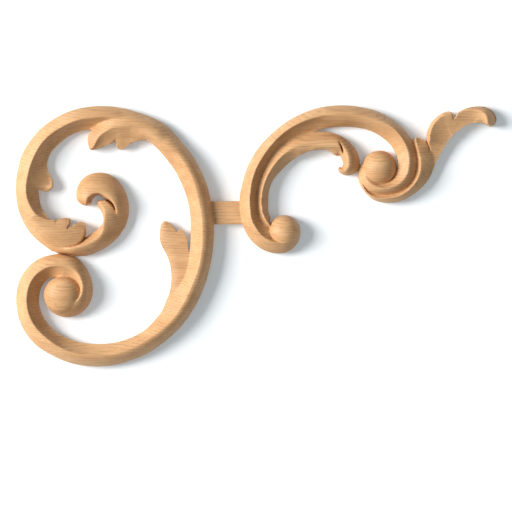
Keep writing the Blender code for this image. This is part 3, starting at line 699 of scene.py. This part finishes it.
@dataclass
class SmallScroll:
    """The small scroll: the right limb between its two balls, and the branch inside it."""
    curl_ball_middle: tuple = (95.3, 28.2)
    curl_ball_radius: float = 10.9
    curl_ball_rise: float = 4.4
    end_ball_middle: tuple = (36.1, -11.2)
    end_ball_radius: float = 10.0
    end_ball_rise: float = 5.0

    def forms(self) -> list:
        """The limbs and the balls."""
        return [self.right_limb(), self.branch(),
                Ball("upper_eye", self.curl_ball_middle, self.curl_ball_radius, self.curl_ball_rise),
                Ball("end_eye", self.end_ball_middle, self.end_ball_radius, self.end_ball_rise)]

    def right_limb(self) -> Fold:
        """The limb that runs from under one ball, up and over, and round the other.

        Returns:
            The limb's fold.
        """
        crest = (
            (43.5, -9, 9.5), (42.6, -14, 10.5), (38.8, -17.6, 11.8), (33.5, -18.4, 12.8),
            (28.4, -17.4, 13.4),
            *full(
                (23.5, -15), (18.6, -9.3), (15.8, -3.5), (14.9, 3), (14.8, 10), (15.9, 19), (18.6, 27.5),
                (23, 35.4), (29.5, 44), (37, 50.8), (46, 56.1), (56, 59.7), (64, 61), (73, 61.2),
                (82, 60.1), (90, 58.3), (97.5, 56), (103.5, 52.6), (108.3, 47.2), (111.4, 41.7),
                (113.2, 35.5), (113.2, 29), (111.2, 22.6), (107.4, 18.5), (102, 16)),
            (96.5, 15.4, 13.2), (91.8, 16.8, 12.4), (88.4, 19.6, 11.4), (86.7, 23.6, 10.3), (86.8, 29, 9.0),
        )
        outer = (
            (45.8, -9), (45.5, -15.5), (42.7, -20.7), (38.3, -23.9), (32.5, -25), (26, -24.1),
            (19.3, -20.5), (13.6, -14.4), (10.2, -7.2), (8.5, 0), (8.2, 9), (9.6, 17.5), (12.4, 27),
            (16.7, 35.8), (22.7, 44), (31, 52), (39, 57.9), (47.5, 62.3), (56, 65.3), (65, 66.9),
            (74, 67.2), (83, 66.2), (91, 64.5), (98.5, 61.3), (105.5, 56.7), (111, 51.6), (115.2, 46.3),
            (118, 40.5), (119, 34), (118.6, 27), (116.2, 20.2), (111.5, 15), (105, 11.8), (97.5, 11),
            (90.5, 12.2), (85.6, 15.8), (82.9, 20), (82.3, 25), (83.4, 30.5),
        )
        inner = (
            (41.5, -8.5), (40.5, -12.5), (37.4, -15.6), (33, -16.7), (29.8, -16.3), (27.9, -14.3),
            (26.6, -11), (24, -7.6), (21.2, -3.8), (19.8, 0.5), (19.4, 8), (19.9, 15.5), (21.5, 22.3),
            (24.6, 29.3), (29.4, 36.3), (35.5, 42.2), (42, 46.4), (48.5, 48.8), (54, 50.7), (60, 52.6),
            (68, 53.8), (76, 53.9), (84, 53.1), (91.5, 50.6), (98.5, 46.2), (103.6, 40.9), (106, 35.5),
            (106.7, 29.5), (106, 24.8), (103.5, 21), (99.5, 18.8), (95.3, 18.6), (92.4, 20.6), (91, 24),
            (91, 28), (91.5, 31),
        )
        return Fold("right_limb", crest, outer, inner,
                    Slope(((0, 0.9), (0.12, 0.5), (0.45, 0.4), (0.6, 0.9), (0.72, 0.5), (0.9, 0.5), (1, 0.8)),
                          ((0, 5.0), (0.76, 5.0), (0.8, 7.0), (0.95, 6.4), (1, 5.0))),
                    Slope(((0, 0.5), (0.12, -0.3), (0.4, -0.5), (0.5, -0.3), (0.58, 0.7), (0.66, 0.5),
                           (0.74, 0.0), (0.85, 0.1), (1, 0.5)),
                          ((0, 9.0), (0.1, 9.4), (0.15, 6.2), (0.42, 6.2), (0.48, 5.0), (0.76, 5.0),
                           (0.8, 8.5), (1, 8.6))))

    def branch(self) -> Fold:
        """The branch inside the limb, ending in a lobe and a hook.

        Returns:
            The branch's fold.
        """
        crest = (
            (28, -8.5, 10.6), (24.5, -4, 10.9), (22.5, 0.5, 11.0), (21.8, 6, 11.0), (22.1, 12, 11.0),
            (24, 19.5, 11.0), (27.2, 26.3, 11.0), (31.6, 32.4, 11.1), (36.4, 37.2, 11.2),
            (41.2, 40.6, 11.3), (46.5, 42.6, 11.4), (52, 43.3, 11.5), (57, 42.4, 11.6), (61.5, 41.6, 11.8),
            (66, 41.6, 11.9), (70, 41.6, 12.0), (72.8, 40.2, 12.1), (74.7, 37.6, 12.3), (75.6, 34, 12.4),
            (75.6, 29.6, 12.0), (74.3, 26.9, 11.0), (72, 26.6, 9.8), (70.2, 27.4, 8.6),
        )
        outer = (
            (26, -9.8), (22.6, -6.6), (20, -2.8), (18.8, 2), (18.6, 9), (19.1, 15.5), (20.7, 22.3),
            (23.9, 29.7), (28.8, 36.9), (35, 43), (42, 47.4), (48.5, 49.5), (53, 50.5), (57.5, 50.9),
            (62.5, 50.7), (67.3, 49.7), (72, 47.7), (76.2, 44.8), (79.8, 40.9), (82.1, 36.6), (83, 32.2),
            (82.6, 28.3), (80.8, 25.6), (78, 24.1), (75, 23.6), (72.4, 24.2), (70.3, 25.7), (69.6, 27),
        )
        inner = (
            (29.5, -7), (27, -5.4), (27.4, -3.2), (26.4, 0), (26, 5), (26.1, 11), (27.4, 17), (30, 22),
            (34.6, 27.2), (39.6, 32), (45.2, 35.8), (51, 38.5), (57, 39.5), (61.5, 39.6), (64, 38.8),
            (66, 37.4), (67.6, 36.3), (69.2, 35.9), (70.6, 36.2), (71.4, 35), (72.2, 33.3), (72.6, 31.3),
            (72.2, 29.4), (71.4, 28.6), (70.5, 28.9), (69.8, 28.6),
        )
        return Fold("branch", crest, outer, inner,
                    Slope(((0, -0.2), (0.4, -0.2), (0.55, 0.4), (0.7, 0.9), (1, 0.9)),
                          ((0, 6.6), (0.45, 6.8), (0.55, 5.5), (0.62, 4.8), (1, 4.8))),
                    Slope(((0, 0.1), (0.45, 0.1), (0.56, 0.7), (0.66, 0.9), (0.78, 0.2), (1, 0.6)),
                          ((0, 4.6), (0.48, 4.6), (0.56, 8.0), (0.66, 9.2), (0.74, 8.0), (0.8, 5.5),
                           (1, 5.5))))

    def cuts(self) -> list:
        """The slit in the branch's hook."""
        return [
            Cut("branch_slit", (
                (70.0, 45.0, 0.2, 0.2, 0.6), (70.7, 43.0, 0.6, 0.5, 3.4), (71.6, 40.6, 0.9, 0.7, 5.6),
                (72.3, 38.6, 0.8, 0.6, 4.6), (72.7, 36.8, 0.3, 0.3, 0.8),
            )),
        ]


@dataclass
class LongLeaf:
    """The leaf that grows from the small scroll's curl and ends in a tendril."""

    def forms(self) -> list:
        """The stem with its rim, and the blade whose rim runs over the crown to the tendril's end.

        Returns:
            The two folds.
        """
        stem = Fold("stem", (
            (83.2, 27.5, 5.0), (83.5, 22, 7.0), (85, 16.8, 8.8), (88, 12.4, 9.8), (92, 10, 10.3),
            (97, 9.2, 10.5), (103, 9.7, 10.7), (108, 11.2, 10.8), (112.4, 13.8, 11.0), (116.4, 17.8, 11.2),
            (119.3, 22.8, 11.3), (120.6, 28, 11.4), (120.4, 33, 11.4), (119.1, 38.5, 11.3),
            (118.1, 43, 10.8), (118, 46.6, 9.8),
        ), (
            (84.3, 27.5), (84.6, 22), (86, 17.5), (88.3, 14.3), (91.5, 12.6), (96, 12), (101, 12.1),
            (106, 13.2), (110.5, 15.8), (114.3, 19.6), (116.8, 24.4), (117.9, 29.5), (117.9, 35),
            (117.2, 40), (116.4, 44.4), (117, 47),
        ), (
            (82, 27), (82, 22.8), (82.9, 19), (85, 14.8), (88.2, 11), (92.2, 8.2), (97, 6.8), (102, 6.5),
            (107, 7.2), (112, 9), (117, 12.1), (121.5, 15.9), (125.4, 20.5), (128, 26), (129.6, 31.5),
            (128.8, 37), (127, 41), (125.8, 43.3), (124.3, 44.8), (121.8, 46.1), (119, 47.1), (117.3, 47.1),
        ), Slope(0.1, ((0, 4.5), (0.5, 6.4), (1, 6.4))),
            Slope(0.3, ((0, 4.0), (0.4, 5.0), (0.75, 5.6), (0.87, 6.8), (0.93, 7.6), (1, 7.6))))
        rim = (
            (118, 23), (120.6, 29), (122.4, 35), (123.8, 40), (124.7, 43.8), (124.8, 48), (125.8, 52.7),
            (128.2, 57.2), (131.6, 60.5), (135, 62.6), (138, 63.3), (139.9, 62.7), (140.7, 61.6),
            (140.9, 60.2), (141.2, 59.2), (142, 60), (143.2, 61.6), (145, 63.2), (148, 64.8), (152, 66),
            (157, 66.6), (161.8, 66), (165.2, 63.9), (167.5, 60.8), (168, 57.4), (167, 55.4),
        )
        blade = Fold("blade", (
            (119.5, 23, 6.0), (122.2, 29.5, 6.8), (124.2, 36, 7.4), (125.4, 40.5, 8.2), (126.0, 43.2, 9.8),
            (126.3, 46, 11.0), (126.8, 50, 11.4), (128.2, 54, 11.5), (131, 57.8, 11.4), (135, 60.8, 11.3),
            (139.4, 61.4, 11.1), (144.6, 62.6, 10.7), (150, 63.9, 10.7), (154.2, 64.1, 11.0),
            (157.8, 63.3, 11.8), (160.4, 61.4, 12.4), (161.6, 58.7, 12.3), (161.9, 55.6, 11.0),
        ), rim, (
            (121.5, 16.1), (125.5, 20.6), (128.4, 26.3), (130.8, 32.5), (134, 38.6), (138, 45), (142.4, 50),
            (147, 53.5), (152, 55.8), (157, 56.5), (161, 55.8), (163.6, 54.3), (165.6, 54.2), (166.7, 55.2),
        ),
            Slope(((0, 0.3), (0.5, 0.2), (0.65, 0.5), (0.8, 0.8), (1, 0.9)),
                 ((0, 7.0), (0.4, 8.4), (0.6, 8.6), (0.75, 8.6), (0.85, 5.6), (1, 5.2))),
            Slope(((0, 0.2), (0.3, -0.3), (0.5, -0.4), (0.75, -0.3), (0.85, -0.2), (1, 0.0)),
                  ((0, 5.4), (0.25, 6.4), (0.4, 7.4), (0.6, 7.8), (0.8, 7.4), (1, 7.6))), blend=0.3,
            left_fall=(*rim[:9], (135.4, 62.5), (140, 63.4), (145, 64), (150, 65.1), (156, 66.1),
                       (161.4, 65.6), (164.8, 63.6), (167, 60.6), (167.6, 57.4), (166.8, 55.4)))
        return [stem, blade]

    def cuts(self) -> list:
        """The slit between the crown and the tendril, and the crease where the stem's rim ends.

        Returns:
            The two cuts.
        """
        return [
            Cut("crown_slit", (
                (142.6, 61.6, 0.6, 0.6, 4.0), (141.5, 59.8, 0.6, 0.6, 3.4), (140.8, 58.4, 0.3, 0.3, 0.8),
            )),
            Cut("crown_crease", (
                (124.2, 45.6, 0.6, 0.5, 2.5), (125.2, 43.2, 0.7, 0.5, 3.2), (126.0, 41.0, 0.6, 0.4, 2.4),
                (126.7, 38.6, 0.3, 0.3, 0.3),
            )),
        ]


@dataclass
class Bridge:
    """The bar that holds the two scrolls together."""
    left: float = -12.0
    right: float = 13.0
    middle: float = 0.3
    width: float = 14.3
    height: float = 6.0

    def forms(self) -> list:
        """The one flat bar."""
        return [FlatBar("bar", self.left, self.right, self.middle, self.width, self.height)]

    def cuts(self) -> list:
        """It is plain."""
        return []


class Sheet:
    """A flat sheet of triangles cut to the outline where a relief's inside field is above 0."""

    LOW = (-134.0, -98.0)   # the corners of the area that the onlay lies in
    HIGH = (170.0, 70.0)
    SNAP = 0.25             # a point nearer to the outline than this share of a step is moved onto it
    LEAST_STEEP = 0.25      # least divisor for that move

    def __init__(self, carve: Callable[[np.ndarray], Relief]) -> None:
        """Cut the sheet.

        Args:
            carve: a function from points to their relief.
        """
        xs, ys = (np.arange(low, high, GRID_STEP) for low, high in zip(self.LOW, self.HIGH))
        self.shape = (len(xs), len(ys))
        grid = np.stack(np.meshgrid(xs, ys, indexing="ij"), axis=-1).reshape(-1, 2)
        inside = carve(grid).inside
        slope = np.stack(np.gradient(inside.reshape(self.shape), GRID_STEP), axis=-1).reshape(-1, 2)
        steep = np.maximum((slope ** 2).sum(axis=1), self.LEAST_STEEP)
        close = np.abs(inside) < self.SNAP * GRID_STEP
        grid[close] -= (inside / steep)[close, None] * slope[close]
        inside[close] = 0.0
        self.grid = grid
        self.inside = inside
        self.extra = []
        self.crossings = {}
        self.faces = []
        self._cut_cells()

    def _crossing(self, a: int, b: int) -> int:
        """Find or make the outline's point between two grid points.

        Args:
            a: the number of the one inside.
            b: the number of the one outside.

        Returns:
            The number of the outline's point.
        """
        if self.inside[a] == 0.0:
            return a
        if self.inside[b] == 0.0:
            return b
        key = (a, b) if a < b else (b, a)
        if key not in self.crossings:
            share = self.inside[a] / (self.inside[a] - self.inside[b])
            self.crossings[key] = len(self.grid) + len(self.extra)
            self.extra.append(self.grid[a] + share * (self.grid[b] - self.grid[a]))
        return self.crossings[key]

    def _cut_cells(self) -> None:
        """Make the faces of every cell that the outline takes in."""
        rows, cols = self.shape
        index = np.arange(rows * cols).reshape(rows, cols)
        corners = np.stack([index[:-1, :-1], index[1:, :-1], index[1:, 1:], index[:-1, 1:]], axis=-1)
        corners = corners.reshape(-1, 4)
        held = (self.inside[corners] >= 0).sum(axis=1)
        whole = corners[held == 4]
        odd = (whole[:, 0] // cols + whole[:, 0] % cols) % 2 == 1
        for chosen, order in ((whole[~odd], ([0, 1, 2], [0, 2, 3])), (whole[odd], ([0, 1, 3], [1, 2, 3]))):
            for three in order:
                self.faces.extend(chosen[:, three].tolist())
        for cell in corners[(held > 0) & (held < 4)].tolist():
            ring = []
            for k in range(4):
                a, b = cell[k], cell[(k + 1) % 4]
                if self.inside[a] >= 0:
                    ring.append(a)
                    if self.inside[b] < 0:
                        ring.append(self._crossing(a, b))
                elif self.inside[b] >= 0:
                    ring.append(self._crossing(b, a))
            ring = [v for k, v in enumerate(ring) if v != ring[k - 1]]
            for k in range(1, len(ring) - 1):
                if len({ring[0], ring[k], ring[k + 1]}) == 3:
                    self.faces.append([ring[0], ring[k], ring[k + 1]])

    def result(self) -> tuple:
        """The points and the triangles, without unused points.

        Returns:
            Rows of x and y, and rows of three indices.
        """
        points = np.concatenate([self.grid, np.array(self.extra).reshape(-1, 2)])
        faces = np.array(self.faces)
        used, renumbered = np.unique(faces, return_inverse=True)
        return points[used], renumbered.reshape(-1, 3)


def soften(height: np.ndarray, faces: np.ndarray, rounds: int, share: float) -> np.ndarray:
    """Even out heights a little, as sandpaper does.

    Args:
        height: a height for each point.
        faces: the triangles that join them.
        rounds: how often.
        share: how far each point goes towards its neighbours' mean each time.

    Returns:
        The new heights.
    """
    edges = np.concatenate([faces[:, [0, 1]], faces[:, [1, 2]], faces[:, [2, 0]]])
    count = np.bincount(edges.ravel(), minlength=len(height))
    for _ in range(rounds):
        total = np.bincount(edges[:, 0], height[edges[:, 1]], len(height))
        total += np.bincount(edges[:, 1], height[edges[:, 0]], len(height))
        height = height + share * (total / count - height)
    return height


class Socket:
    """A value socket that takes part in Python arithmetic; each operator adds a Math node."""

    def __init__(self, tree: "Nodes", link: bpy.types.NodeSocket) -> None:
        """Wrap a socket of a tree."""
        self.tree = tree
        self.link = link

    def __add__(self, other: "Socket | float") -> "Socket":
        """Sum."""
        return self.tree.math("ADD", self, other)

    __radd__ = __add__

    def __sub__(self, other: "Socket | float") -> "Socket":
        """Difference."""
        return self.tree.math("SUBTRACT", self, other)

    def __rsub__(self, other: float) -> "Socket":
        """Difference from a number."""
        return self.tree.math("SUBTRACT", other, self)

    def __mul__(self, other: "Socket | float") -> "Socket":
        """Product."""
        return self.tree.math("MULTIPLY", self, other)

    __rmul__ = __mul__

    def __truediv__(self, other: "Socket | float") -> "Socket":
        """Quotient."""
        return self.tree.math("DIVIDE", self, other)


class Ramp(Enum):
    """How a value rises between two limits."""
    SMOOTH = "SMOOTHSTEP"
    STRAIGHT = "LINEAR"


Value = Socket | bpy.types.NodeSocket | float | tuple


class Nodes:
    """A node tree that is filled by plain calls."""

    def __init__(self, tree: bpy.types.NodeTree) -> None:
        """Wrap an empty tree."""
        self.tree = tree

    def node(self, kind: str, settings: dict | None = None, inputs: dict | None = None) -> bpy.types.Node:
        """Add a node.

        Args:
            kind: the node's type.
            settings: its properties, which are set first.
            inputs: values or links by socket name or number.

        Returns:
            The node.
        """
        made = self.tree.nodes.new(kind)
        for name, value in (settings or {}).items():
            setattr(made, name, value)
        for name, value in (inputs or {}).items():
            self.feed(made.inputs[name], value)
        return made

    def feed(self, socket: bpy.types.NodeSocket, value: Value) -> None:
        """Set or link an input socket.

        Args:
            socket: the input.
            value: what it gets; a socket is linked and anything else is set.
        """
        if isinstance(value, Socket):
            value = value.link
        if isinstance(value, bpy.types.NodeSocket):
            self.tree.links.new(value, socket)
        else:
            socket.default_value = value

    def math(self, operation: str, *values: Value) -> Socket:
        """Add a Math node and return its result."""
        made = self.node("ShaderNodeMath", {"operation": operation}, dict(enumerate(values)))
        return Socket(self, made.outputs[0])

    def stretch(self, vector: Value, by: tuple) -> bpy.types.NodeSocket:
        """A vector times three numbers."""
        return self.node("ShaderNodeVectorMath", {"operation": "MULTIPLY"}, {0: vector, 1: by}).outputs[0]

    def noise(self, place: Value, along: float, across: float, detail: float, rough: float = 0.5) -> Socket:
        """Add noise that is drawn out along the grain.

        Args:
            place: the place in drawing units.
            along: waves in a drawing unit along X.
            across: waves in a drawing unit along Y and Z.
            detail: how many finer layers it has.
            rough: how strong they are.

        Returns:
            A value from 0 to 1.
        """
        made = self.node("ShaderNodeTexNoise", {"noise_dimensions": "3D"}, {
            "Vector": self.stretch(place, (along, across, across)), "Scale": 1.0, "Detail": detail,
            "Roughness": rough})
        return Socket(self, made.outputs["Fac"])

    def ramp(self, value: Value, low: float, high: float, kind: Ramp = Ramp.SMOOTH) -> Socket:
        """Add a ramp.

        Args:
            value: what it reads.
            low: where it leaves 0.
            high: where it reaches 1.
            kind: its course between them.

        Returns:
            A value from 0 to 1.
        """
        made = self.node("ShaderNodeMapRange", {"interpolation_type": kind.value}, {
            "Value": value, "From Min": low, "From Max": high, "To Min": 0.0, "To Max": 1.0})
        return Socket(self, made.outputs[0])

    def blend(self, share: Value, first: Value, second: Value) -> bpy.types.NodeSocket:
        """Mix two colours."""
        return self.node("ShaderNodeMix", {"data_type": "RGBA"}, {0: share, 6: first, 7: second}).outputs[2]


def new_material(name: str) -> tuple:
    """Start a material.

    Args:
        name: its name.

    Returns:
        The material, its nodes and its shader.
    """
    material = bpy.data.materials.new(name)
    material.use_nodes = True
    return material, Nodes(material.node_tree), material.node_tree.nodes["Principled BSDF"]


def place_object(name: str, data: bpy.types.ID) -> bpy.types.Object:
    """Put an object with some data into the scene."""
    item = bpy.data.objects.new(name, data)
    bpy.context.scene.collection.objects.link(item)
    return item


@dataclass(frozen=True)
class PaleWood:
    """Pale, fine-grained wood, sanded and left bare: its grain runs along X, its rings lie aslant."""
    light: tuple = (0.73, 0.425, 0.205, 1.0)
    mid: tuple = (0.62, 0.335, 0.150, 1.0)
    dark: tuple = (0.30, 0.145, 0.06, 1.0)
    ring_width: float = 1.6         # drawing units across a year's growth
    ring_lean: tuple = (0.02, 0.95, 0.22)
    ring_strength: float = 0.38
    sway: float = 9.0               # drawing units that the rings wander
    shiver: float = 1.1             # the same, for their small waves
    pore_strength: float = 0.34
    fibre_strength: float = 0.2
    roughness: float = 0.5
    shine: float = 0.35
    grain_depth: float = 0.00006    # metres
    grain_strength: float = 0.5

    def build(self) -> bpy.types.Material:
        """Make the material.

        Returns:
            The material.
        """
        material, nodes, shader = new_material("carved_pale_wood")
        place = nodes.stretch(nodes.node("ShaderNodeTexCoord").outputs["Object"], (1 / UNIT,) * 3)
        split = nodes.node("ShaderNodeSeparateXYZ", None, {0: place})
        x, y, z = (Socket(nodes, split.outputs[k]) for k in range(3))

        sway = nodes.noise(place, 1 / 80, 1 / 34, 1.0)
        shiver = nodes.noise(place, 1 / 11, 1 / 4, 2.0)
        lean_x, lean_y, lean_z = self.ring_lean
        level = x * lean_x + y * lean_y + z * lean_z + sway * self.sway + shiver * self.shiver
        turn = nodes.math("FRACT", level / self.ring_width)
        late = nodes.ramp(turn, 0.4, 0.8) * (1 - nodes.ramp(turn, 0.84, 1.0))
        strength = nodes.noise(place, 1 / 15, 1 / 3, 1.0)
        late = late * nodes.ramp(strength, 0.36, 0.6)

        fibre = nodes.noise(place, 1 / 15, 1.3, 3.0, 0.6)
        fleck = nodes.noise(place, 1 / 6, 1.9, 1.0)
        pores = nodes.ramp(fleck, 0.6, 0.74)
        cloud = nodes.noise(place, 1 / 50, 1 / 8, 2.0)

        tone = nodes.ramp(cloud * 0.7 + fibre * 0.3, 0.33, 0.67)
        colour = nodes.blend(tone, self.light, self.mid)
        colour = nodes.blend(late * self.ring_strength, colour, self.dark)
        colour = nodes.blend(pores * self.pore_strength, colour, self.dark)
        shade = nodes.ramp(fibre, 0.25, 0.75, Ramp.STRAIGHT)
        colour = nodes.blend(shade * self.fibre_strength, colour, self.dark)
        nodes.feed(shader.inputs["Base Color"], colour)
        nodes.feed(shader.inputs["Roughness"], self.roughness + fibre * 0.12 - late * 0.05)
        grain = nodes.node("ShaderNodeBump", None, {
            "Strength": self.grain_strength, "Distance": self.grain_depth,
            "Height": fibre * 0.6 - pores * 0.7 + late * 0.3})
        nodes.feed(shader.inputs["Normal"], grain.outputs[0])
        nodes.feed(shader.inputs["Metallic"], 0.0)
        nodes.feed(shader.inputs["Specular IOR Level"], self.shine)
        return material


@dataclass(frozen=True)
class PlainPaint:
    """A plain matt paint for the floor, with an optional even glow: painted light that lightens the shadows
    cast on the floor and tints them blue.
    """
    name: str
    colour: tuple
    roughness: float = 0.9
    # painted light: the glow lifts the shadows cast on the floor, and its bluish colour tints them
    glow: float = 0.0
    glow_colour: tuple = (0.80, 0.95, 1.0, 1.0)

    def build(self) -> bpy.types.Material:
        """Make the material.

        Returns:
            The material.
        """
        material, nodes, shader = new_material(self.name)
        look = {"Base Color": self.colour, "Roughness": self.roughness, "Specular IOR Level": 0.0,
                "Emission Color": self.glow_colour, "Emission Strength": self.glow}
        for name, value in look.items():
            nodes.feed(shader.inputs[name], value)
        return material


@dataclass
class BodyTree:
    """The Geometry Nodes that give a carved sheet its upright walls and its flat back."""
    name: str = "walls_and_back"
    weld: float = 1e-6              # metres

    def build(self) -> bpy.types.GeometryNodeTree:
        """Make the tree; its inputs are the sheet, the height of the back and the finish.

        Returns:
            The tree.
        """
        tree = bpy.data.node_groups.new(self.name, "GeometryNodeTree")
        for name, way, kind in (("Sheet", "INPUT", "Geometry"), ("Back Height", "INPUT", "Float"),
                                ("Finish", "INPUT", "Material"), ("Body", "OUTPUT", "Geometry")):
            tree.interface.new_socket(name, in_out=way, socket_type="NodeSocket" + kind)
        nodes = Nodes(tree)
        given = nodes.node("NodeGroupInput")
        rim = nodes.node("GeometryNodeInputMeshEdgeNeighbors")
        alone = nodes.node("FunctionNodeCompare", {"data_type": "INT", "operation": "EQUAL"},
                           {2: rim.outputs[0], 3: 1})
        walls = nodes.node("GeometryNodeExtrudeMesh", {"mode": "EDGES"}, {
            "Mesh": given.outputs["Sheet"], "Selection": alone.outputs[0], "Offset Scale": 0.0})
        place = nodes.node("GeometryNodeInputPosition").outputs[0]
        split = nodes.node("ShaderNodeSeparateXYZ", None, {0: place})
        low = nodes.node("ShaderNodeCombineXYZ", None, {
            0: split.outputs[0], 1: split.outputs[1], 2: given.outputs["Back Height"]})
        sunk = nodes.node("GeometryNodeSetPosition", None, {
            "Geometry": walls.outputs["Mesh"], "Selection": walls.outputs["Top"], "Position": low.outputs[0]})
        foot = nodes.node("GeometryNodeMeshToCurve", None, {
            "Mesh": sunk.outputs[0], "Selection": walls.outputs["Top"]})
        back = nodes.node("GeometryNodeFillCurve", None, {"Curve": foot.outputs[0]})
        turned = nodes.node("GeometryNodeFlipFaces", None, {"Mesh": back.outputs[0]})
        both = nodes.node("GeometryNodeJoinGeometry")
        nodes.feed(both.inputs[0], sunk.outputs[0])
        nodes.feed(both.inputs[0], turned.outputs[0])
        welded = nodes.node("GeometryNodeMergeByDistance", None, {
            "Geometry": both.outputs[0], "Distance": self.weld})
        real = nodes.node("GeometryNodeRealizeInstances", None, {"Geometry": welded.outputs[0]})
        dressed = nodes.node("GeometryNodeSetMaterial", None, {
            "Geometry": real.outputs[0], "Material": given.outputs["Finish"]})
        nodes.node("NodeGroupOutput", None, {0: dressed.outputs[0]})
        return tree


@dataclass
class Onlay:
    """The whole onlay, carved from one board."""
    wood: PaleWood = field(default_factory=PaleWood)
    sub_assemblies: tuple = ()
    sanding_rounds: int = 1
    sanding_share: float = 0.3
    least_height: float = 1.5
    sharp_angle: float = math.radians(50)

    def carve(self, points: np.ndarray) -> Relief:
        """Press every form and take out every cut at some points.

        Args:
            points: rows of x and y in drawing units.

        Returns:
            The relief there.
        """
        relief = Relief(points)
        for part in self.sub_assemblies:
            for form in part.forms():
                form.press(relief)
        for part in self.sub_assemblies:
            for cut in part.cuts():
                cut.carve(relief)
        return relief

    def sheet_object(self) -> bpy.types.Object:
        """Make the carved face alone.

        Returns:
            The object.
        """
        points, faces = Sheet(self.carve).result()
        height = np.maximum(self.carve(points).height, self.least_height)
        height = soften(height, faces, self.sanding_rounds, self.sanding_share)
        mesh = bpy.data.meshes.new("carved_onlay")
        places = np.column_stack([points, height]) * UNIT
        mesh.from_pydata(places.tolist(), [], faces.tolist())
        LOG.info("sheet: %d points, %d triangles", len(points), len(faces))
        for part in self.sub_assemblies:
            names = [made.name for made in (*part.forms(), *part.cuts())]
            LOG.info("%s: %s", type(part).__name__, ", ".join(names))
        return place_object("carved_onlay", mesh)

    def build(self) -> bpy.types.Object:
        """Make the onlay's one piece.

        Returns:
            The finished object, in place of the frame's node.
        """
        item = self.sheet_object()
        tree = BodyTree().build()
        modifier = item.modifiers.new("walls_and_back", "NODES")
        modifier.node_group = tree
        sockets = {s.name: s.identifier for s in tree.interface.items_tree if s.in_out == "INPUT"}
        modifier[sockets["Back Height"]] = 0.0
        modifier[sockets["Finish"]] = self.wood.build()
        ready = item.evaluated_get(bpy.context.evaluated_depsgraph_get())
        solid = bpy.data.meshes.new_from_object(ready)
        item.modifiers.remove(modifier)
        item.data = solid
        solid.name = "carved_onlay"
        solid.shade_smooth()
        solid.set_sharp_from_angle(angle=self.sharp_angle)
        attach(item, "root")
        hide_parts("onlay")
        return item


@dataclass
class Studio:
    """The floor, the lights and the camera."""
    view_middle: tuple = (0.0184, -0.0266)      # metres, where the camera looks straight down
    view_width: float = 0.3192                  # metres across the picture
    lens: float = 300.0
    floor_size: float = 6.0
    floor_gap: float = 0.0004
    floor_colour: tuple = (0.86, 0.86, 0.86, 1.0)
    # painted light: the floor glows evenly, lightening and bluing the shadows cast on it
    floor_glow: float = 0.16
    key_from: tuple = (-3.58, 0.66, 2.60)
    key_size: float = 2.2
    key_power: float = 318.0
    fill_from: tuple = (0.1, -0.6, 1.8)
    fill_size: float = 1.6
    fill_power: float = 3.0
    sky: float = 0.28
    sky_colour: tuple = (0.80, 0.92, 1.0, 1.0)

    def build(self) -> None:
        """Set all of it up."""
        self.floor()
        self.lights()
        self.camera()

    def floor(self) -> None:
        """A pale floor just under the back."""
        half = self.floor_size / 2
        mesh = bpy.data.meshes.new("floor")
        corners = (-half, -half), (half, -half), (half, half), (-half, half)
        mesh.from_pydata([(x, y, -self.floor_gap) for x, y in corners], [], [(0, 1, 2, 3)])
        mesh.materials.append(PlainPaint("pale_floor", self.floor_colour, glow=self.floor_glow).build())
        place_object("floor", mesh)

    def area(self, name: str, place: tuple, size: float, power: float) -> None:
        """Add a square light that points at the picture's middle.

        Args:
            name: its name.
            place: its place from that middle, in metres.
            size: its side in metres.
            power: its power in watts.
        """
        light = bpy.data.lights.new(name, "AREA")
        light.size = size
        light.energy = power
        item = place_object(name, light)
        item.location = Vector((*self.view_middle, 0.0)) + Vector(place)
        item.rotation_euler = (-Vector(place)).to_track_quat("-Z", "Y").to_euler()

    def lights(self) -> None:
        """A soft key from the left, a broad weak fill from below the picture and a pale sky."""
        self.area("key_light", self.key_from, self.key_size, self.key_power)
        self.area("fill_light", self.fill_from, self.fill_size, self.fill_power)
        world = bpy.data.worlds.new("studio")
        world.use_nodes = True
        back = world.node_tree.nodes["Background"]
        back.inputs["Color"].default_value = self.sky_colour
        back.inputs["Strength"].default_value = self.sky
        bpy.context.scene.world = world
        bpy.context.scene.view_settings.view_transform = "Standard"

    def camera(self) -> None:
        """A long lens straight above."""
        data = bpy.data.cameras.new("camera")
        data.lens = self.lens
        item = place_object("camera", data)
        item.location = (*self.view_middle, self.view_width * self.lens / data.sensor_width)
        bpy.context.scene.camera = item


def main() -> None:
    """Build the onlay and its studio, and note the sizes."""
    logging.basicConfig(level=logging.INFO, format="%(name)s: %(message)s")
    parts = (Bridge(), LargeScroll(), SmallScroll(), LongLeaf())
    onlay = Onlay(sub_assemblies=parts).build()
    LOG.info("%s: %d points, %d faces", onlay.name, len(onlay.data.vertices), len(onlay.data.polygons))
    Studio().build()


if __name__ == "__main__":
    main()
